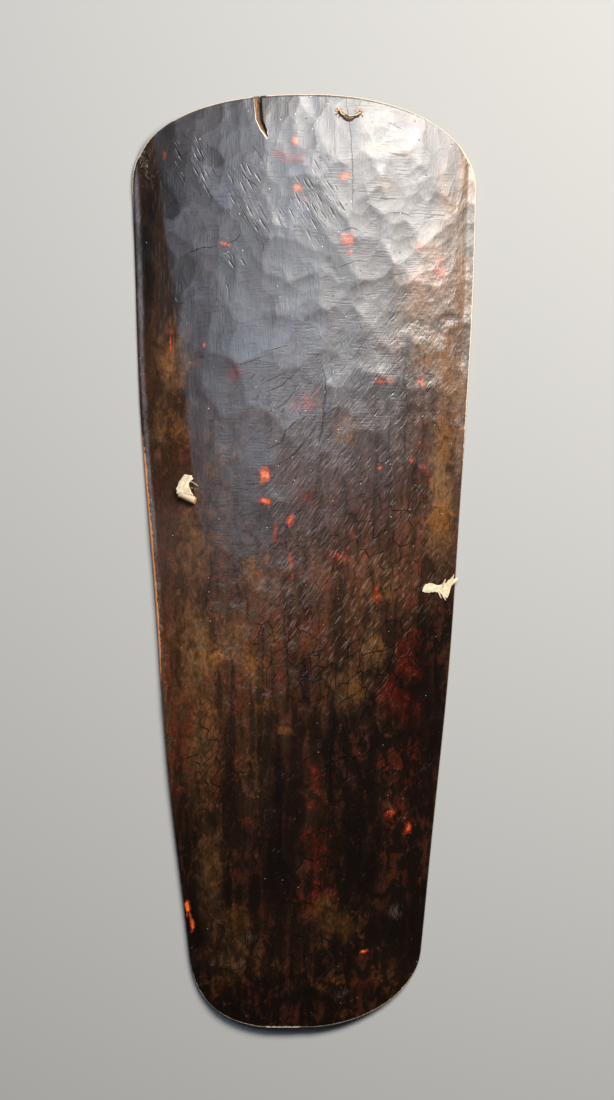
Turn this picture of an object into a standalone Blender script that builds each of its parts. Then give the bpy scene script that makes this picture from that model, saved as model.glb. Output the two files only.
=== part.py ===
"""War shield of the New Guinea Highlands kind: a tall adzed board that tapers to a rounded foot.

The board lies on its back with its front up: +Z is the front, +Y runs to the broad top end and
+X is the right-hand edge seen from the front. It rests on its two long edges, and the origin is
at the middle of its footprint. Metres.
"""

import math

import bmesh
import bpy
import numpy as np
from mathutils import Matrix, Vector

# Outline of the board. Each long edge is hewn by eye, so it has its own sweep and its own waver.
LENGTH = 1.40
MIDDLE_HALF_WIDTH = 0.2306
EDGE_SPREAD = 0.0734
EDGE_BOW = 0.0335
RIGHT_WAVER = 0.0010
RIGHT_WAVER_RATE = 12.3
RIGHT_WAVER_START = 3.5
LEFT_WAVER = 0.0018
LEFT_WAVER_RATE = 11.65
LEFT_WAVER_START = 5.15
TOP_HEIGHT = 0.141
TOP_ROUNDNESS_RIGHT = 2.14
TOP_ROUNDNESS_LEFT = 2.43
TOP_LEAN = 0.010
FOOT_HEIGHT = 0.116
FOOT_ROUNDNESS_RIGHT = 2.19
FOOT_ROUNDNESS_LEFT = 2.76
FOOT_LEAN = 0.041
FOOT_FLAT_DEPTH = 0.0009

# Section of the board: hollow behind, rounded in front, thin at the edges.
ARCH_RADIUS = 0.87
ARCH_POWER = 2.3
LAND_START = 0.955
MID_THICKNESS = 0.0150
EDGE_THICKNESS = 0.0085
THINNING_POWER = 3.0
FRONT_ARRIS = 0.0025
BACK_ARRIS = 0.0015

# Bevel hewn along the upper left edge.
BEVEL_LINE_X = -0.164
BEVEL_LINE_Y = 0.14
BEVEL_LINE_SLOPE = -0.115
BEVEL_FALL = 0.050
BEVEL_FADE_END = 0.02
BEVEL_FADE_LENGTH = 0.16

# Adze work: shallow scoops that meet in low ridges, deepest near the top.
SCOOP_SPACING_X = 0.042
SCOOP_SPACING_Y = 0.056
SCOOP_RADIUS = 0.22
SCOOP_JITTER = 0.34
SCOOP_LEVEL = 0.0006
SCOOP_FADE_TOP = 0.36
SCOOP_FADE_FOOT = -0.10
SCOOP_LEFT_BELOW = 0.35
SCOOP_SEED = 7

# Mesh of the board: columns across and rows along, on the front. The back has half as many.
HALF_COLUMNS = 14
LAND_COLUMNS = 2
TRUNK_ROWS = 56
CAP_ROWS = 8

# Wedge of wood split away from the top edge.
SPLIT_TOP_X = -0.0697
SPLIT_TOP_WIDTH = 0.0128
SPLIT_MIDDLE = (-0.0662, 0.6610)
SPLIT_MIDDLE_WIDTH = 0.0108
SPLIT_KNEE = (-0.0600, 0.6465)
SPLIT_KNEE_WIDTH = 0.0100
SPLIT_TIP = (-0.0545, 0.6345)
SPLIT_DEPTH = 0.0085
SPLIT_FLOOR_SHIFT = 0.55

# Holes for the carrying strap and for the stitch over the crack.
LEFT_HOLE = (-0.1682, 0.1118)
RIGHT_HOLE = (0.1881, -0.0415)
STRAP_HOLE_RADIUS = 0.0040
STITCH_HOLES = ((0.0530, 0.6722), (0.0836, 0.6714))
STITCH_HOLE_RADIUS = 0.0031

# Strap, its two tied ends and the stitch.
STRAP_DIAMETER = 0.0050
STRAP_REST = 0.0031
STRAP_END_BELOW = 0.0009
STRAP_ROUTE = ((-0.157, 0.096, 0.0075), (-0.132, 0.066, STRAP_REST), (-0.080, 0.000, STRAP_REST),
               (-0.020, -0.072, STRAP_REST), (0.045, -0.122, STRAP_REST),
               (0.110, -0.122, STRAP_REST), (0.158, -0.086, STRAP_REST),
               (0.1815, -0.0515, STRAP_REST))
STITCH_DIAMETER = 0.0032
STITCH_SAG = 0.0088
STITCH_TURN = 0.0046
STITCH_SPARE = 0.0008
GAP = 0.0003
STRIP_THICKNESS = 0.0030
FLAP_THICKNESS = 0.0040
ROLL_RADIUS = 0.0062
ROLL_START = (-0.0130, -0.0100)
ROLL_END = (0.0030, -0.0215)

WOOD_COLOUR = (0.050, 0.032, 0.024)
BAST_COLOUR = (0.72, 0.62, 0.44)
STITCH_COLOUR = (0.16, 0.09, 0.045)


def smooth(value):
    """Eases 0 to 1, flat outside."""
    t = np.clip(value, 0.0, 1.0)
    return t * t * (3.0 - 2.0 * t)


def side_width(y, side):
    """Distance from the middle line to the hewn edge at y, for side +1 or -1."""
    sweep = MIDDLE_HALF_WIDTH + EDGE_SPREAD * y - EDGE_BOW * y * y
    right = RIGHT_WAVER * np.sin(RIGHT_WAVER_RATE * y + RIGHT_WAVER_START)
    left = LEFT_WAVER * np.sin(LEFT_WAVER_RATE * y + LEFT_WAVER_START)
    return sweep + np.where(np.asarray(side) > 0, right, left)


def cap_shape(end):
    """Height, right and left roundness, and lean of the top (+1) or foot (-1) end."""
    if end > 0:
        return TOP_HEIGHT, TOP_ROUNDNESS_RIGHT, TOP_ROUNDNESS_LEFT, TOP_LEAN
    return FOOT_HEIGHT, FOOT_ROUNDNESS_RIGHT, FOOT_ROUNDNESS_LEFT, FOOT_LEAN


def cap_point(across, along, end):
    """Place of a grid point in an end: across runs -1 to 1, along runs 0 at the trunk to 1."""
    height, right_power, left_power, lean = cap_shape(end)
    disc_x = across * math.sqrt(1.0 - along * along / 2.0)
    disc_y = along * math.sqrt(1.0 - across * across / 2.0)
    reach = math.hypot(disc_x, disc_y)
    stretch = 1.0
    if reach > 0.0:
        power = right_power if disc_x >= 0.0 else left_power
        cosine = abs(disc_x) / reach
        sine = abs(disc_y) / reach
        stretch = (cosine ** power + sine ** power) ** (-1.0 / power)
    disc_x *= stretch
    disc_y *= stretch
    side = 1.0 if disc_x >= 0.0 else -1.0
    y = end * (LENGTH / 2.0 - height + height * disc_y)
    y += lean * disc_x * float(side_width(y, side)) * disc_y
    x = disc_x * float(side_width(y, side))
    if end < 0:
        y = max(y, FOOT_FLAT_DEPTH - LENGTH / 2.0)
    return x, y


def trunk_point(across, along):
    """Place of a grid point between the two ends: along runs 0 at the foot end to 1."""
    low = FOOT_HEIGHT - LENGTH / 2.0
    high = LENGTH / 2.0 - TOP_HEIGHT
    y = low + (high - low) * along
    return across * float(side_width(y, across)), y


def nearness_to_edge(x, y):
    """0 on the middle of the board and 1 at its rim."""
    side = np.sign(x)
    across = np.abs(x) / side_width(y, side)
    height = np.where(y > 0.0, TOP_HEIGHT, FOOT_HEIGHT)
    along = np.clip((np.abs(y) - LENGTH / 2.0 + height) / height, 0.0, 1.0)
    return np.clip((across ** 2.2 + along ** 2.2) ** (1.0 / 2.2), 0.0, 1.0)


def back_height(x, y):
    """Height of the back: zero on the long edges, arched between them."""
    across = np.abs(x) / side_width(y, np.sign(x))
    rise = (MIDDLE_HALF_WIDTH + EDGE_SPREAD * y - EDGE_BOW * y * y) ** 2 / (2.0 * ARCH_RADIUS)
    return rise * (1.0 - (np.minimum(across, LAND_START) / LAND_START) ** ARCH_POWER)


def bevel_depth(x, y):
    """Wood taken off by the bevel along the upper left edge."""
    line = BEVEL_LINE_X + BEVEL_LINE_SLOPE * (y - BEVEL_LINE_Y)
    fade = smooth((y - BEVEL_FADE_END) / BEVEL_FADE_LENGTH)
    return BEVEL_FALL * np.maximum(line - x, 0.0) * fade


def plain_front_height(x, y):
    """Height of the front before the adze marks."""
    body = MID_THICKNESS - EDGE_THICKNESS
    thickness = EDGE_THICKNESS + body * (1.0 - nearness_to_edge(x, y) ** THINNING_POWER)
    return back_height(x, y) + thickness - bevel_depth(x, y)


def scoop_centres():
    """Middle of each adze scoop, in staggered and uneven rows."""
    rng = np.random.RandomState(SCOOP_SEED)
    columns = int(round(0.60 / SCOOP_SPACING_X))
    rows = int(round((LENGTH + 0.1) / SCOOP_SPACING_Y))
    centres = []
    for row in range(rows):
        for column in range(columns):
            shift = 0.5 * (row % 2)
            jitter = rng.uniform(-SCOOP_JITTER, SCOOP_JITTER, 2)
            x = (column + shift + jitter[0] - columns / 2.0) * SCOOP_SPACING_X
            y = (row + jitter[1] - rows / 2.0 + 0.5) * SCOOP_SPACING_Y
            centres.append((x, y, rng.uniform(-SCOOP_LEVEL, SCOOP_LEVEL)))
    return np.array(centres)


SCOOPS = scoop_centres()


def scoop_depth(x, y):
    """Wood taken off by the adze scoops, softer towards the foot."""
    across = x[..., None] - SCOOPS[:, 0]
    along = (y[..., None] - SCOOPS[:, 1]) * SCOOP_SPACING_X / SCOOP_SPACING_Y
    floor = (across ** 2 + along ** 2) / (2.0 * SCOOP_RADIUS) + SCOOPS[:, 2]
    deepest = (SCOOP_SPACING_X ** 2) / (2.0 * SCOOP_RADIUS) * 0.5 + SCOOP_LEVEL
    depth = np.maximum(deepest - floor.min(axis=-1), 0.0)
    fade = smooth((y - SCOOP_FADE_FOOT) / (SCOOP_FADE_TOP - SCOOP_FADE_FOOT))
    return depth * (SCOOP_LEFT_BELOW + (1.0 - SCOOP_LEFT_BELOW) * fade)


def front_height(x, y):
    """Height of the finished front."""
    return plain_front_height(x, y) - scoop_depth(np.asarray(x, float), np.asarray(y, float))


def height_at(surface, place):
    """Height of a surface function at one (x, y)."""
    return float(surface(np.array(place[0]), np.array(place[1])))


def across_values():
    """Column places from the left edge to the right, with a column where the flat land starts."""
    inner = [LAND_START * k / HALF_COLUMNS for k in range(HALF_COLUMNS)]
    land = [LAND_START + (1.0 - LAND_START) * k / LAND_COLUMNS for k in range(LAND_COLUMNS + 1)]
    half = inner + land
    return [-value for value in reversed(half[1:])] + half


def board_grid():
    """Points (x, y) of the whole outline, row by row from the foot to the top."""
    across = across_values()
    rows = []
    for k in range(CAP_ROWS, 0, -1):
        rows.append([cap_point(a, k / CAP_ROWS, -1) for a in across])
    for k in range(TRUNK_ROWS + 1):
        rows.append([trunk_point(a, k / TRUNK_ROWS) for a in across])
    for k in range(1, CAP_ROWS + 1):
        rows.append([cap_point(a, k / CAP_ROWS, 1) for a in across])
    return np.array(rows)


def rim_indices(rows, columns):
    """(row, column) of the rim points, once round anticlockwise from the foot's left corner."""
    path = [(0, c) for c in range(columns)]
    path += [(r, columns - 1) for r in range(1, rows)]
    path += [(rows - 1, c) for c in range(columns - 2, -1, -1)]
    path += [(r, 0) for r in range(rows - 2, 0, -1)]
    return path


def inward_normals(loop):
    """Unit normals of a closed anticlockwise loop of points, pointing inwards."""
    along = np.roll(loop, -1, axis=0) - np.roll(loop, 1, axis=0)
    normal = np.stack([-along[:, 1], along[:, 0]], axis=1)
    return normal / np.linalg.norm(normal, axis=1)[:, None]


def board_rings(grid):
    """The rim path, its points and the inward direction at each."""
    path = rim_indices(grid.shape[0], grid.shape[1])
    loop = np.array([grid[r, c] for r, c in path])
    return path, loop, inward_normals(loop)


def add_sheet(mesh, grid, surface, path, inset, step):
    """Adds one face of the board, its rim drawn in by inset. Returns its vertices by (row, column)."""
    plan = grid.copy()
    for (r, c), offset in zip(path, inset):
        plan[r, c] += offset
    height = surface(plan[..., 0], plan[..., 1])
    points = {}
    for r in range(0, grid.shape[0], step):
        for c in range(0, grid.shape[1], step):
            points[r, c] = mesh.verts.new((plan[r, c, 0], plan[r, c, 1], height[r, c]))
    for r in range(0, grid.shape[0] - 1, step):
        for c in range(0, grid.shape[1] - 1, step):
            corners = [points[r, c], points[r, c + step]]
            corners += [points[r + step, c + step], points[r + step, c]]
            mesh.faces.new(corners)
    return points


def add_band(mesh, lower, upper):
    """Joins two rings of equal count."""
    for k in range(len(lower)):
        after = (k + 1) % len(lower)
        mesh.faces.new([lower[k], lower[after], upper[after], upper[k]])


def add_halving_band(mesh, coarse, fine):
    """Joins a ring to one with twice as many points."""
    for k in range(len(coarse)):
        here = coarse[k]
        there = coarse[(k + 1) % len(coarse)]
        first = fine[2 * k]
        middle = fine[2 * k + 1]
        last = fine[(2 * k + 2) % len(fine)]
        mesh.faces.new([here, middle, first])
        mesh.faces.new([here, there, middle])
        mesh.faces.new([there, last, middle])


def board_mesh():
    """The hewn board, before its holes and its split."""
    grid = board_grid()
    path, loop, inward = board_rings(grid)
    mesh = bmesh.new()
    front = add_sheet(mesh, grid, front_height, path, inward * FRONT_ARRIS, 1)
    back = add_sheet(mesh, grid, back_height, path, inward * BACK_ARRIS, 2)
    front_ring = [front[place] for place in path]
    back_ring = [back[place] for place in path[::2]]
    upper = []
    lower = []
    for k, (x, y) in enumerate(loop):
        crown = front_ring[k].co.z - FRONT_ARRIS
        base = height_at(back_height, loop[k]) + BACK_ARRIS
        upper.append(mesh.verts.new((x, y, crown)))
        lower.append(mesh.verts.new((x, y, base)))
    add_band(mesh, lower, upper)
    add_band(mesh, upper, front_ring)
    add_halving_band(mesh, back_ring, lower)
    bmesh.ops.recalc_face_normals(mesh, faces=mesh.faces)
    return mesh


def add_object(name, mesh, material=None):
    """Makes an object of a bmesh and links it to the scene."""
    data = bpy.data.meshes.new(name)
    mesh.to_mesh(data)
    mesh.free()
    obj = bpy.data.objects.new(name, data)
    bpy.context.scene.collection.objects.link(obj)
    if material:
        data.materials.append(material)
    return obj


def make_material(name, colour, roughness):
    """A plain Principled material."""
    material = bpy.data.materials.new(name)
    material.use_nodes = True
    shader = material.node_tree.nodes["Principled BSDF"]
    shader.inputs["Base Color"].default_value = (*colour, 1.0)
    shader.inputs["Roughness"].default_value = roughness
    shader.inputs["Metallic"].default_value = 0.0
    material.diffuse_color = (*colour, 1.0)
    return material


def cut(target, cutter):
    """Takes the cutter out of the target."""
    cutter.hide_render = True
    cutter.display_type = "WIRE"
    boolean = target.modifiers.new(cutter.name, "BOOLEAN")
    boolean.operation = "DIFFERENCE"
    boolean.solver = "EXACT"
    boolean.object = cutter


def hole_cutter(name, place, radius):
    """An upright rod through the board."""
    mesh = bmesh.new()
    bmesh.ops.create_cone(mesh, cap_ends=True, segments=12, radius1=radius, radius2=radius,
                          depth=0.12)
    obj = add_object(name, mesh)
    obj.location = (place[0], place[1], 0.04)
    return obj


def split_cutter():
    """The wedge that has split away: a steep right wall and a slanting left one."""
    above = 0.02
    stations = [(SPLIT_TOP_X, LENGTH / 2.0 + 0.01, SPLIT_TOP_WIDTH, 1.0),
                (SPLIT_MIDDLE[0], SPLIT_MIDDLE[1], SPLIT_MIDDLE_WIDTH, 0.8),
                (SPLIT_KNEE[0], SPLIT_KNEE[1], SPLIT_KNEE_WIDTH, 0.6),
                (SPLIT_TIP[0], SPLIT_TIP[1], 0.0016, 0.05)]
    mesh = bmesh.new()
    rings = []
    for x, y, width, share in stations:
        z = height_at(front_height, (x, min(y, LENGTH / 2.0 - 0.02)))
        floor_x = x + SPLIT_FLOOR_SHIFT * width / 2.0
        ring = [(x - width / 2.0, y, z + 0.0008), (x - width / 2.0, y, z + above),
                (x + width / 2.0, y, z + above), (x + width / 2.0, y, z + 0.0008),
                (floor_x, y, z - SPLIT_DEPTH * share)]
        rings.append([mesh.verts.new(point) for point in ring])
    for first, second in zip(rings, rings[1:]):
        add_band(mesh, first, second)
    mesh.faces.new(rings[0])
    mesh.faces.new(rings[-1])
    bmesh.ops.recalc_face_normals(mesh, faces=mesh.faces)
    return add_object("split_wedge", mesh)


def make_board(material):
    """The board with its split, its strap holes and its stitch holes."""
    board = add_object("shield_board", board_mesh(), material)
    cut(board, split_cutter())
    cut(board, hole_cutter("left_strap_hole", LEFT_HOLE, STRAP_HOLE_RADIUS))
    cut(board, hole_cutter("right_strap_hole", RIGHT_HOLE, STRAP_HOLE_RADIUS))
    for number, place in enumerate(STITCH_HOLES):
        cut(board, hole_cutter(f"stitch_hole_{number + 1}", place, STITCH_HOLE_RADIUS))
    return board


def smooth_route(points, closed, samples):
    """Evenly many points in each stretch of a smooth curve through the given points."""
    count = len(points)
    stretches = count if closed else count - 1
    route = []
    for k in range(stretches):
        here = Vector(points[k])
        there = Vector(points[(k + 1) % count])
        before = Vector(points[k - 1]) if closed or k > 0 else here * 2.0 - there
        last = k + 2 >= count and not closed
        after = there * 2.0 - here if last else Vector(points[(k + 2) % count])
        for step in range(samples[k]):
            t = step / samples[k]
            route.append(catmull(before, here, there, after, t))
    if not closed:
        route.append(Vector(points[-1]))
    return route


def catmull(before, here, there, after, t):
    """Point of a centripetal Catmull-Rom stretch from here to there."""
    knots = [0.0]
    for a, b in ((before, here), (here, there), (there, after)):
        knots.append(knots[-1] + max((b - a).length, 1e-6) ** 0.5)
    at = knots[1] + (knots[2] - knots[1]) * t

    def mix(a, b, start, end):
        return a * ((end - at) / (end - start)) + b * ((at - start) / (end - start))

    first = mix(before, here, knots[0], knots[1])
    second = mix(here, there, knots[1], knots[2])
    third = mix(there, after, knots[2], knots[3])
    return mix(mix(first, second, knots[0], knots[2]), mix(second, third, knots[1], knots[3]),
               knots[1], knots[2])


def make_tube(name, route, diameter, closed, material):
    """A round cord along the route."""
    curve = bpy.data.curves.new(name, "CURVE")
    curve.dimensions = "3D"
    curve.bevel_depth = diameter / 2.0
    curve.bevel_resolution = 2
    curve.use_fill_caps = True
    spline = curve.splines.new("POLY")
    spline.points.add(len(route) - 1)
    for point, place in zip(spline.points, route):
        point.co = (*place, 1.0)
    spline.use_cyclic_u = closed
    curve.materials.append(material)
    obj = bpy.data.objects.new(name, curve)
    bpy.context.scene.collection.objects.link(obj)
    return obj


def make_strap(material):
    """The carrying strap: up through both holes and slack in the hollow between them."""
    left_top = (*LEFT_HOLE, height_at(plain_front_height, LEFT_HOLE) - STRAP_END_BELOW)
    left_mouth = (*LEFT_HOLE, height_at(back_height, LEFT_HOLE))
    right_top = (*RIGHT_HOLE, height_at(plain_front_height, RIGHT_HOLE) - STRAP_END_BELOW)
    right_mouth = (*RIGHT_HOLE, height_at(back_height, RIGHT_HOLE) + 0.001)
    points = [left_top, left_mouth, *STRAP_ROUTE, right_mouth, right_top]
    samples = [3, 5, 4, 8, 8, 7, 6, 6, 4, 5, 3]
    route = smooth_route(points, False, samples)
    for place in route:
        place.z = max(place.z, STRAP_REST)
    return make_tube("strap", route, STRAP_DIAMETER, False, material)


def stitch_rise(place, way):
    """Route of the stitch up through one hole, from behind the board to its front."""
    top = height_at(plain_front_height, place)
    base = height_at(back_height, place)
    lift = STITCH_DIAMETER / 2.0 + GAP
    beside = (place[0] + way * STITCH_TURN, place[1] - STITCH_SAG * 0.45)
    behind = (place[0] + way * STITCH_TURN, place[1])
    lean = way * STITCH_TURN * 0.2
    return [(*behind, height_at(back_height, behind) - lift - STITCH_SPARE),
            (place[0] + lean, place[1], base - STITCH_SPARE),
            (*place, base + STITCH_TURN / 2.0),
            (*place, top - STITCH_TURN / 2.0),
            (place[0] + lean, place[1], top + STITCH_SPARE),
            (*beside, height_at(plain_front_height, beside) + lift + STITCH_SPARE)]


def make_stitch(material):
    """The fibre stitch that closes the crack: a ring through its two holes, slack in front."""
    left, right = STITCH_HOLES
    middle = ((left[0] + right[0]) / 2.0, (left[1] + right[1]) / 2.0 - STITCH_SAG)
    lift = STITCH_DIAMETER / 2.0 + GAP
    points = stitch_rise(left, 1.0)
    points.append((*middle, height_at(plain_front_height, middle) + lift))
    points += stitch_rise(right, -1.0)[::-1]
    samples = [4, 3, 3, 3, 4, 4, 4, 4, 3, 3, 3, 4, 5]
    return make_tube("crack_stitch", smooth_route(points, True, samples), STITCH_DIAMETER, True,
                     material)


def surface_frame(place, surface):
    """Matrix from a flat pattern to the surface at a place, its underside a gap above it."""
    reach = 0.012
    east = height_at(surface, (place[0] + reach, place[1]))
    west = height_at(surface, (place[0] - reach, place[1]))
    north = height_at(surface, (place[0], place[1] + reach))
    south = height_at(surface, (place[0], place[1] - reach))
    right = Vector((2.0 * reach, 0.0, east - west)).normalized()
    up = Vector((0.0, 2.0 * reach, north - south)).normalized()
    out = right.cross(up).normalized()
    up = out.cross(right)
    turn = Matrix((right, up, out)).transposed().to_4x4()
    spot = Vector((place[0], place[1], height_at(surface, place))) + out * GAP
    return Matrix.Translation(spot) @ turn


def slab(mesh, outline, base, thickness):
    """An outline in the XY plane, given thickness."""
    lower = [mesh.verts.new((x, y, base)) for x, y in outline]
    upper = [mesh.verts.new((x, y, base + thickness)) for x, y in outline]
    mesh.faces.new(lower[::-1])
    mesh.faces.new(upper)
    add_band(mesh, lower, upper)


def make_left_knot(material):
    """The strap's left end: a folded flap whose tip is rolled up."""
    mesh = bmesh.new()
    outline = [(-0.0215, -0.0105), (-0.0045, -0.0145), (0.0040, -0.0075), (-0.0010, 0.0065),
               (0.0035, 0.0140), (-0.0045, 0.0180), (-0.0130, 0.0178), (-0.0205, 0.0080),
               (-0.0240, 0.0010)]
    slab(mesh, outline, 0.0, FLAP_THICKNESS)
    flap = add_object("knot_left", mesh, material)
    roll = make_roll()
    union = flap.modifiers.new("roll", "BOOLEAN")
    union.operation = "UNION"
    union.solver = "EXACT"
    union.object = roll
    place = surface_frame(LEFT_HOLE, plain_front_height)
    flap.matrix_world = place
    roll.matrix_world = place
    return flap


def make_roll():
    """The rolled tip of the strap's left end: a rod with round ends, lying flat."""
    start = Vector((*ROLL_START, ROLL_RADIUS))
    along = Vector((*ROLL_END, ROLL_RADIUS)) - start
    mesh = bmesh.new()
    bmesh.ops.create_uvsphere(mesh, u_segments=12, v_segments=8, radius=ROLL_RADIUS)
    for vert in mesh.verts:
        if vert.co.z > ROLL_RADIUS * 0.01:
            vert.co.z += along.length
    turn = along.to_track_quat("Z", "Y").to_matrix().to_4x4()
    bmesh.ops.transform(mesh, matrix=Matrix.Translation(start) @ turn, verts=mesh.verts)
    obj = add_object("left_roll", mesh)
    obj.hide_render = True
    obj.display_type = "WIRE"
    return obj


def make_right_knot(material):
    """The strap's right end: a flat strip that flares and forks past the board's edge."""
    stations = [((-0.0100, -0.0020), (-0.0085, 0.0020)), ((-0.0040, -0.0045), (-0.0040, 0.0100)),
                ((0.0050, -0.0052), (0.0055, 0.0098)), ((0.0140, -0.0062), (0.0160, 0.0068)),
                ((0.0230, -0.0085), (0.0235, 0.0095)), ((0.0295, -0.0122), (0.0310, 0.0145)),
                ((0.0335, -0.0030), (0.0385, 0.0232)), ((0.0400, 0.0080), (0.0425, 0.0215)),
                ((0.0455, 0.0160), (0.0465, 0.0180))]
    mesh = bmesh.new()
    rings = []
    for (x0, y0), (x1, y1) in stations:
        ring = []
        for rise in (0.0, STRIP_THICKNESS):
            for x, y in ((x0, y0), (x1, y1)):
                ring.append((x, y, rise))
        corners = [ring[0], ring[1], ring[3], ring[2]]
        rings.append([mesh.verts.new(corner) for corner in corners])
    for first, second in zip(rings, rings[1:]):
        add_band(mesh, first, second)
    mesh.faces.new(rings[0])
    mesh.faces.new(rings[-1])
    bmesh.ops.recalc_face_normals(mesh, faces=mesh.faces)
    strip = add_object("knot_right", mesh, material)
    strip.matrix_world = surface_frame(RIGHT_HOLE, plain_front_height)
    return strip


def clear_scene():
    """Removes whatever the scene holds."""
    for obj in list(bpy.data.objects):
        bpy.data.objects.remove(obj, do_unlink=True)


def main():
    clear_scene()
    wood = make_material("smoked_wood", WOOD_COLOUR, 0.45)
    bast = make_material("pale_bast", BAST_COLOUR, 0.85)
    fibre = make_material("dark_fibre", STITCH_COLOUR, 0.80)
    make_board(wood)
    make_strap(bast)
    make_left_knot(bast)
    make_right_knot(bast)
    make_stitch(fibre)


main()
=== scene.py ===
import math

import bpy
import numpy as np
from mathutils import Matrix, Vector


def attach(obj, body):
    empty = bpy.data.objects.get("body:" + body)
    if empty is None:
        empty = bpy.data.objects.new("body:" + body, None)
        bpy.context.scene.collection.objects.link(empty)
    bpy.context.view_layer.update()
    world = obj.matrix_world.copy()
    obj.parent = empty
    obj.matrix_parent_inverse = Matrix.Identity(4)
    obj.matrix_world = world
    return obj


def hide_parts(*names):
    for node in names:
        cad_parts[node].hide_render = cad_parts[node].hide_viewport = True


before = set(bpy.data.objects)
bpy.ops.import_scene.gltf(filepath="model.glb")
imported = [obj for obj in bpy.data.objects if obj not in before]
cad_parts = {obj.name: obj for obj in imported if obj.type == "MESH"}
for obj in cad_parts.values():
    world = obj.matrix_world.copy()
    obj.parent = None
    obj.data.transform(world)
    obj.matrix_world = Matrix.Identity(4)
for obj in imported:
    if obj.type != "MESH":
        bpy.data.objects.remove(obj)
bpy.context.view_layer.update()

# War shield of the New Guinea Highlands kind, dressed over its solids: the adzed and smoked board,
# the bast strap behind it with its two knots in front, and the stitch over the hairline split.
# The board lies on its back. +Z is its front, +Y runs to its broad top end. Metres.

# ---- The board's shape, as its solid has it ----

LENGTH = 1.40
MIDDLE_HALF_WIDTH = 0.2306
EDGE_SPREAD = 0.0734
EDGE_BOW = 0.0335
RIGHT_WAVER = 0.0010
RIGHT_WAVER_RATE = 12.3
RIGHT_WAVER_START = 3.5
LEFT_WAVER = 0.0018
LEFT_WAVER_RATE = 11.65
LEFT_WAVER_START = 5.15
TOP_HEIGHT = 0.141
TOP_ROUNDNESS_RIGHT = 2.14
TOP_ROUNDNESS_LEFT = 2.43
TOP_LEAN = 0.010
FOOT_HEIGHT = 0.116
FOOT_ROUNDNESS_RIGHT = 2.19
FOOT_ROUNDNESS_LEFT = 2.76
FOOT_LEAN = 0.041
FOOT_FLAT_DEPTH = 0.0009

ARCH_RADIUS = 0.87
ARCH_POWER = 2.3
LAND_START = 0.955
MID_THICKNESS = 0.0150
EDGE_THICKNESS = 0.0085
THINNING_POWER = 3.0
FRONT_ARRIS = 0.0025
BACK_ARRIS = 0.0015

BEVEL_LINE_X = -0.164
BEVEL_LINE_Y = 0.14
BEVEL_LINE_SLOPE = -0.115
BEVEL_FALL = 0.050
BEVEL_FADE_END = 0.02
BEVEL_FADE_LENGTH = 0.16

SCOOP_SPACING_X = 0.042
SCOOP_SPACING_Y = 0.056
SCOOP_JITTER = 0.34
SCOOP_LEVEL = 0.0006
SCOOP_FADE_TOP = 0.42
SCOOP_FADE_FOOT = -0.02
SCOOP_SHARE_BELOW = 0.35
SCOOP_SHARE_ABOVE = 0.76
SCOOP_SEED = 7

SPLIT_STATIONS = ((-0.0697, 0.7100, 0.0128, 1.00), (-0.0680, 0.6840, 0.0118, 0.95),
                  (-0.0662, 0.6610, 0.0108, 0.80), (-0.0600, 0.6465, 0.0096, 0.60),
                  (-0.0545, 0.6345, 0.0016, 0.05))
SPLIT_DEPTH = 0.0085
SPLIT_FLOOR_SHIFT = 0.55
SPLIT_CUTS_BETWEEN = 5
SPLIT_SPLINTER = 0.0006
SPLIT_ABOVE = 0.02
SPLIT_LIP = 0.0018
SPLIT_SEED = 3
SPLIT_RIM = ((-0.0763, 0.7050), (-0.0742, 0.6840), (-0.0718, 0.6610), (-0.0652, 0.6465),
             (-0.0576, 0.6360))
SPLIT_RIM_HALF_WIDTH = 0.0009

LEFT_HOLE = (-0.1682, 0.1118)
RIGHT_HOLE = (0.1881, -0.0415)
STRAP_HOLE_RADIUS = 0.0040
STITCH_HOLES = ((0.0530, 0.6722), (0.0836, 0.6714))
STITCH_HOLE_RADIUS = 0.0031

# The strap lies slack behind the board, and its route is the solid's.
STRAP_REST = 0.0031
STRAP_END_BELOW = 0.0009
STRAP_ROUTE = ((-0.157, 0.096, 0.0075), (-0.132, 0.066, STRAP_REST), (-0.080, 0.000, STRAP_REST),
               (-0.020, -0.072, STRAP_REST), (0.045, -0.122, STRAP_REST),
               (0.110, -0.122, STRAP_REST), (0.158, -0.086, STRAP_REST),
               (0.1815, -0.0515, STRAP_REST))
STRAP_SAMPLES = (3, 5, 4, 8, 8, 7, 6, 6, 4, 5, 3)
STITCH_DIAMETER = 0.0032
STITCH_SAG = 0.0088
STITCH_TURN = 0.0046
STITCH_SPARE = 0.0008
STITCH_SAMPLES = (4, 3, 3, 3, 4, 4, 4, 4, 3, 3, 3, 4, 5)
GAP = 0.0003

# ---- Values of the dressed pieces ----

# The blank that the board is hewn from: rows run from the foot to the top, closest at the top.
COLUMNS = 168
FOOT_ROWS = 36
TRUNK_ROWS = 372
TOP_ROWS = 54
ROWS = FOOT_ROWS + TRUNK_ROWS + TOP_ROWS
ROW_CROWDING = 0.20
BACK_STEP = 3
RIM_RINGS = 4
BLANK_MERGE = 0.0003
RIM_BAND = 0.020
BACK_FLUTE = 0.0005
BACK_FLUTE_SEED = 9
LUMP = 0.00025
LUMP_SEED = 5
CRUST_LUMP = 0.00022
CRUST_LUMP_SEED = 6
ROD_LENGTH = 0.12
ROD_MIDDLE = 0.04

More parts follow.
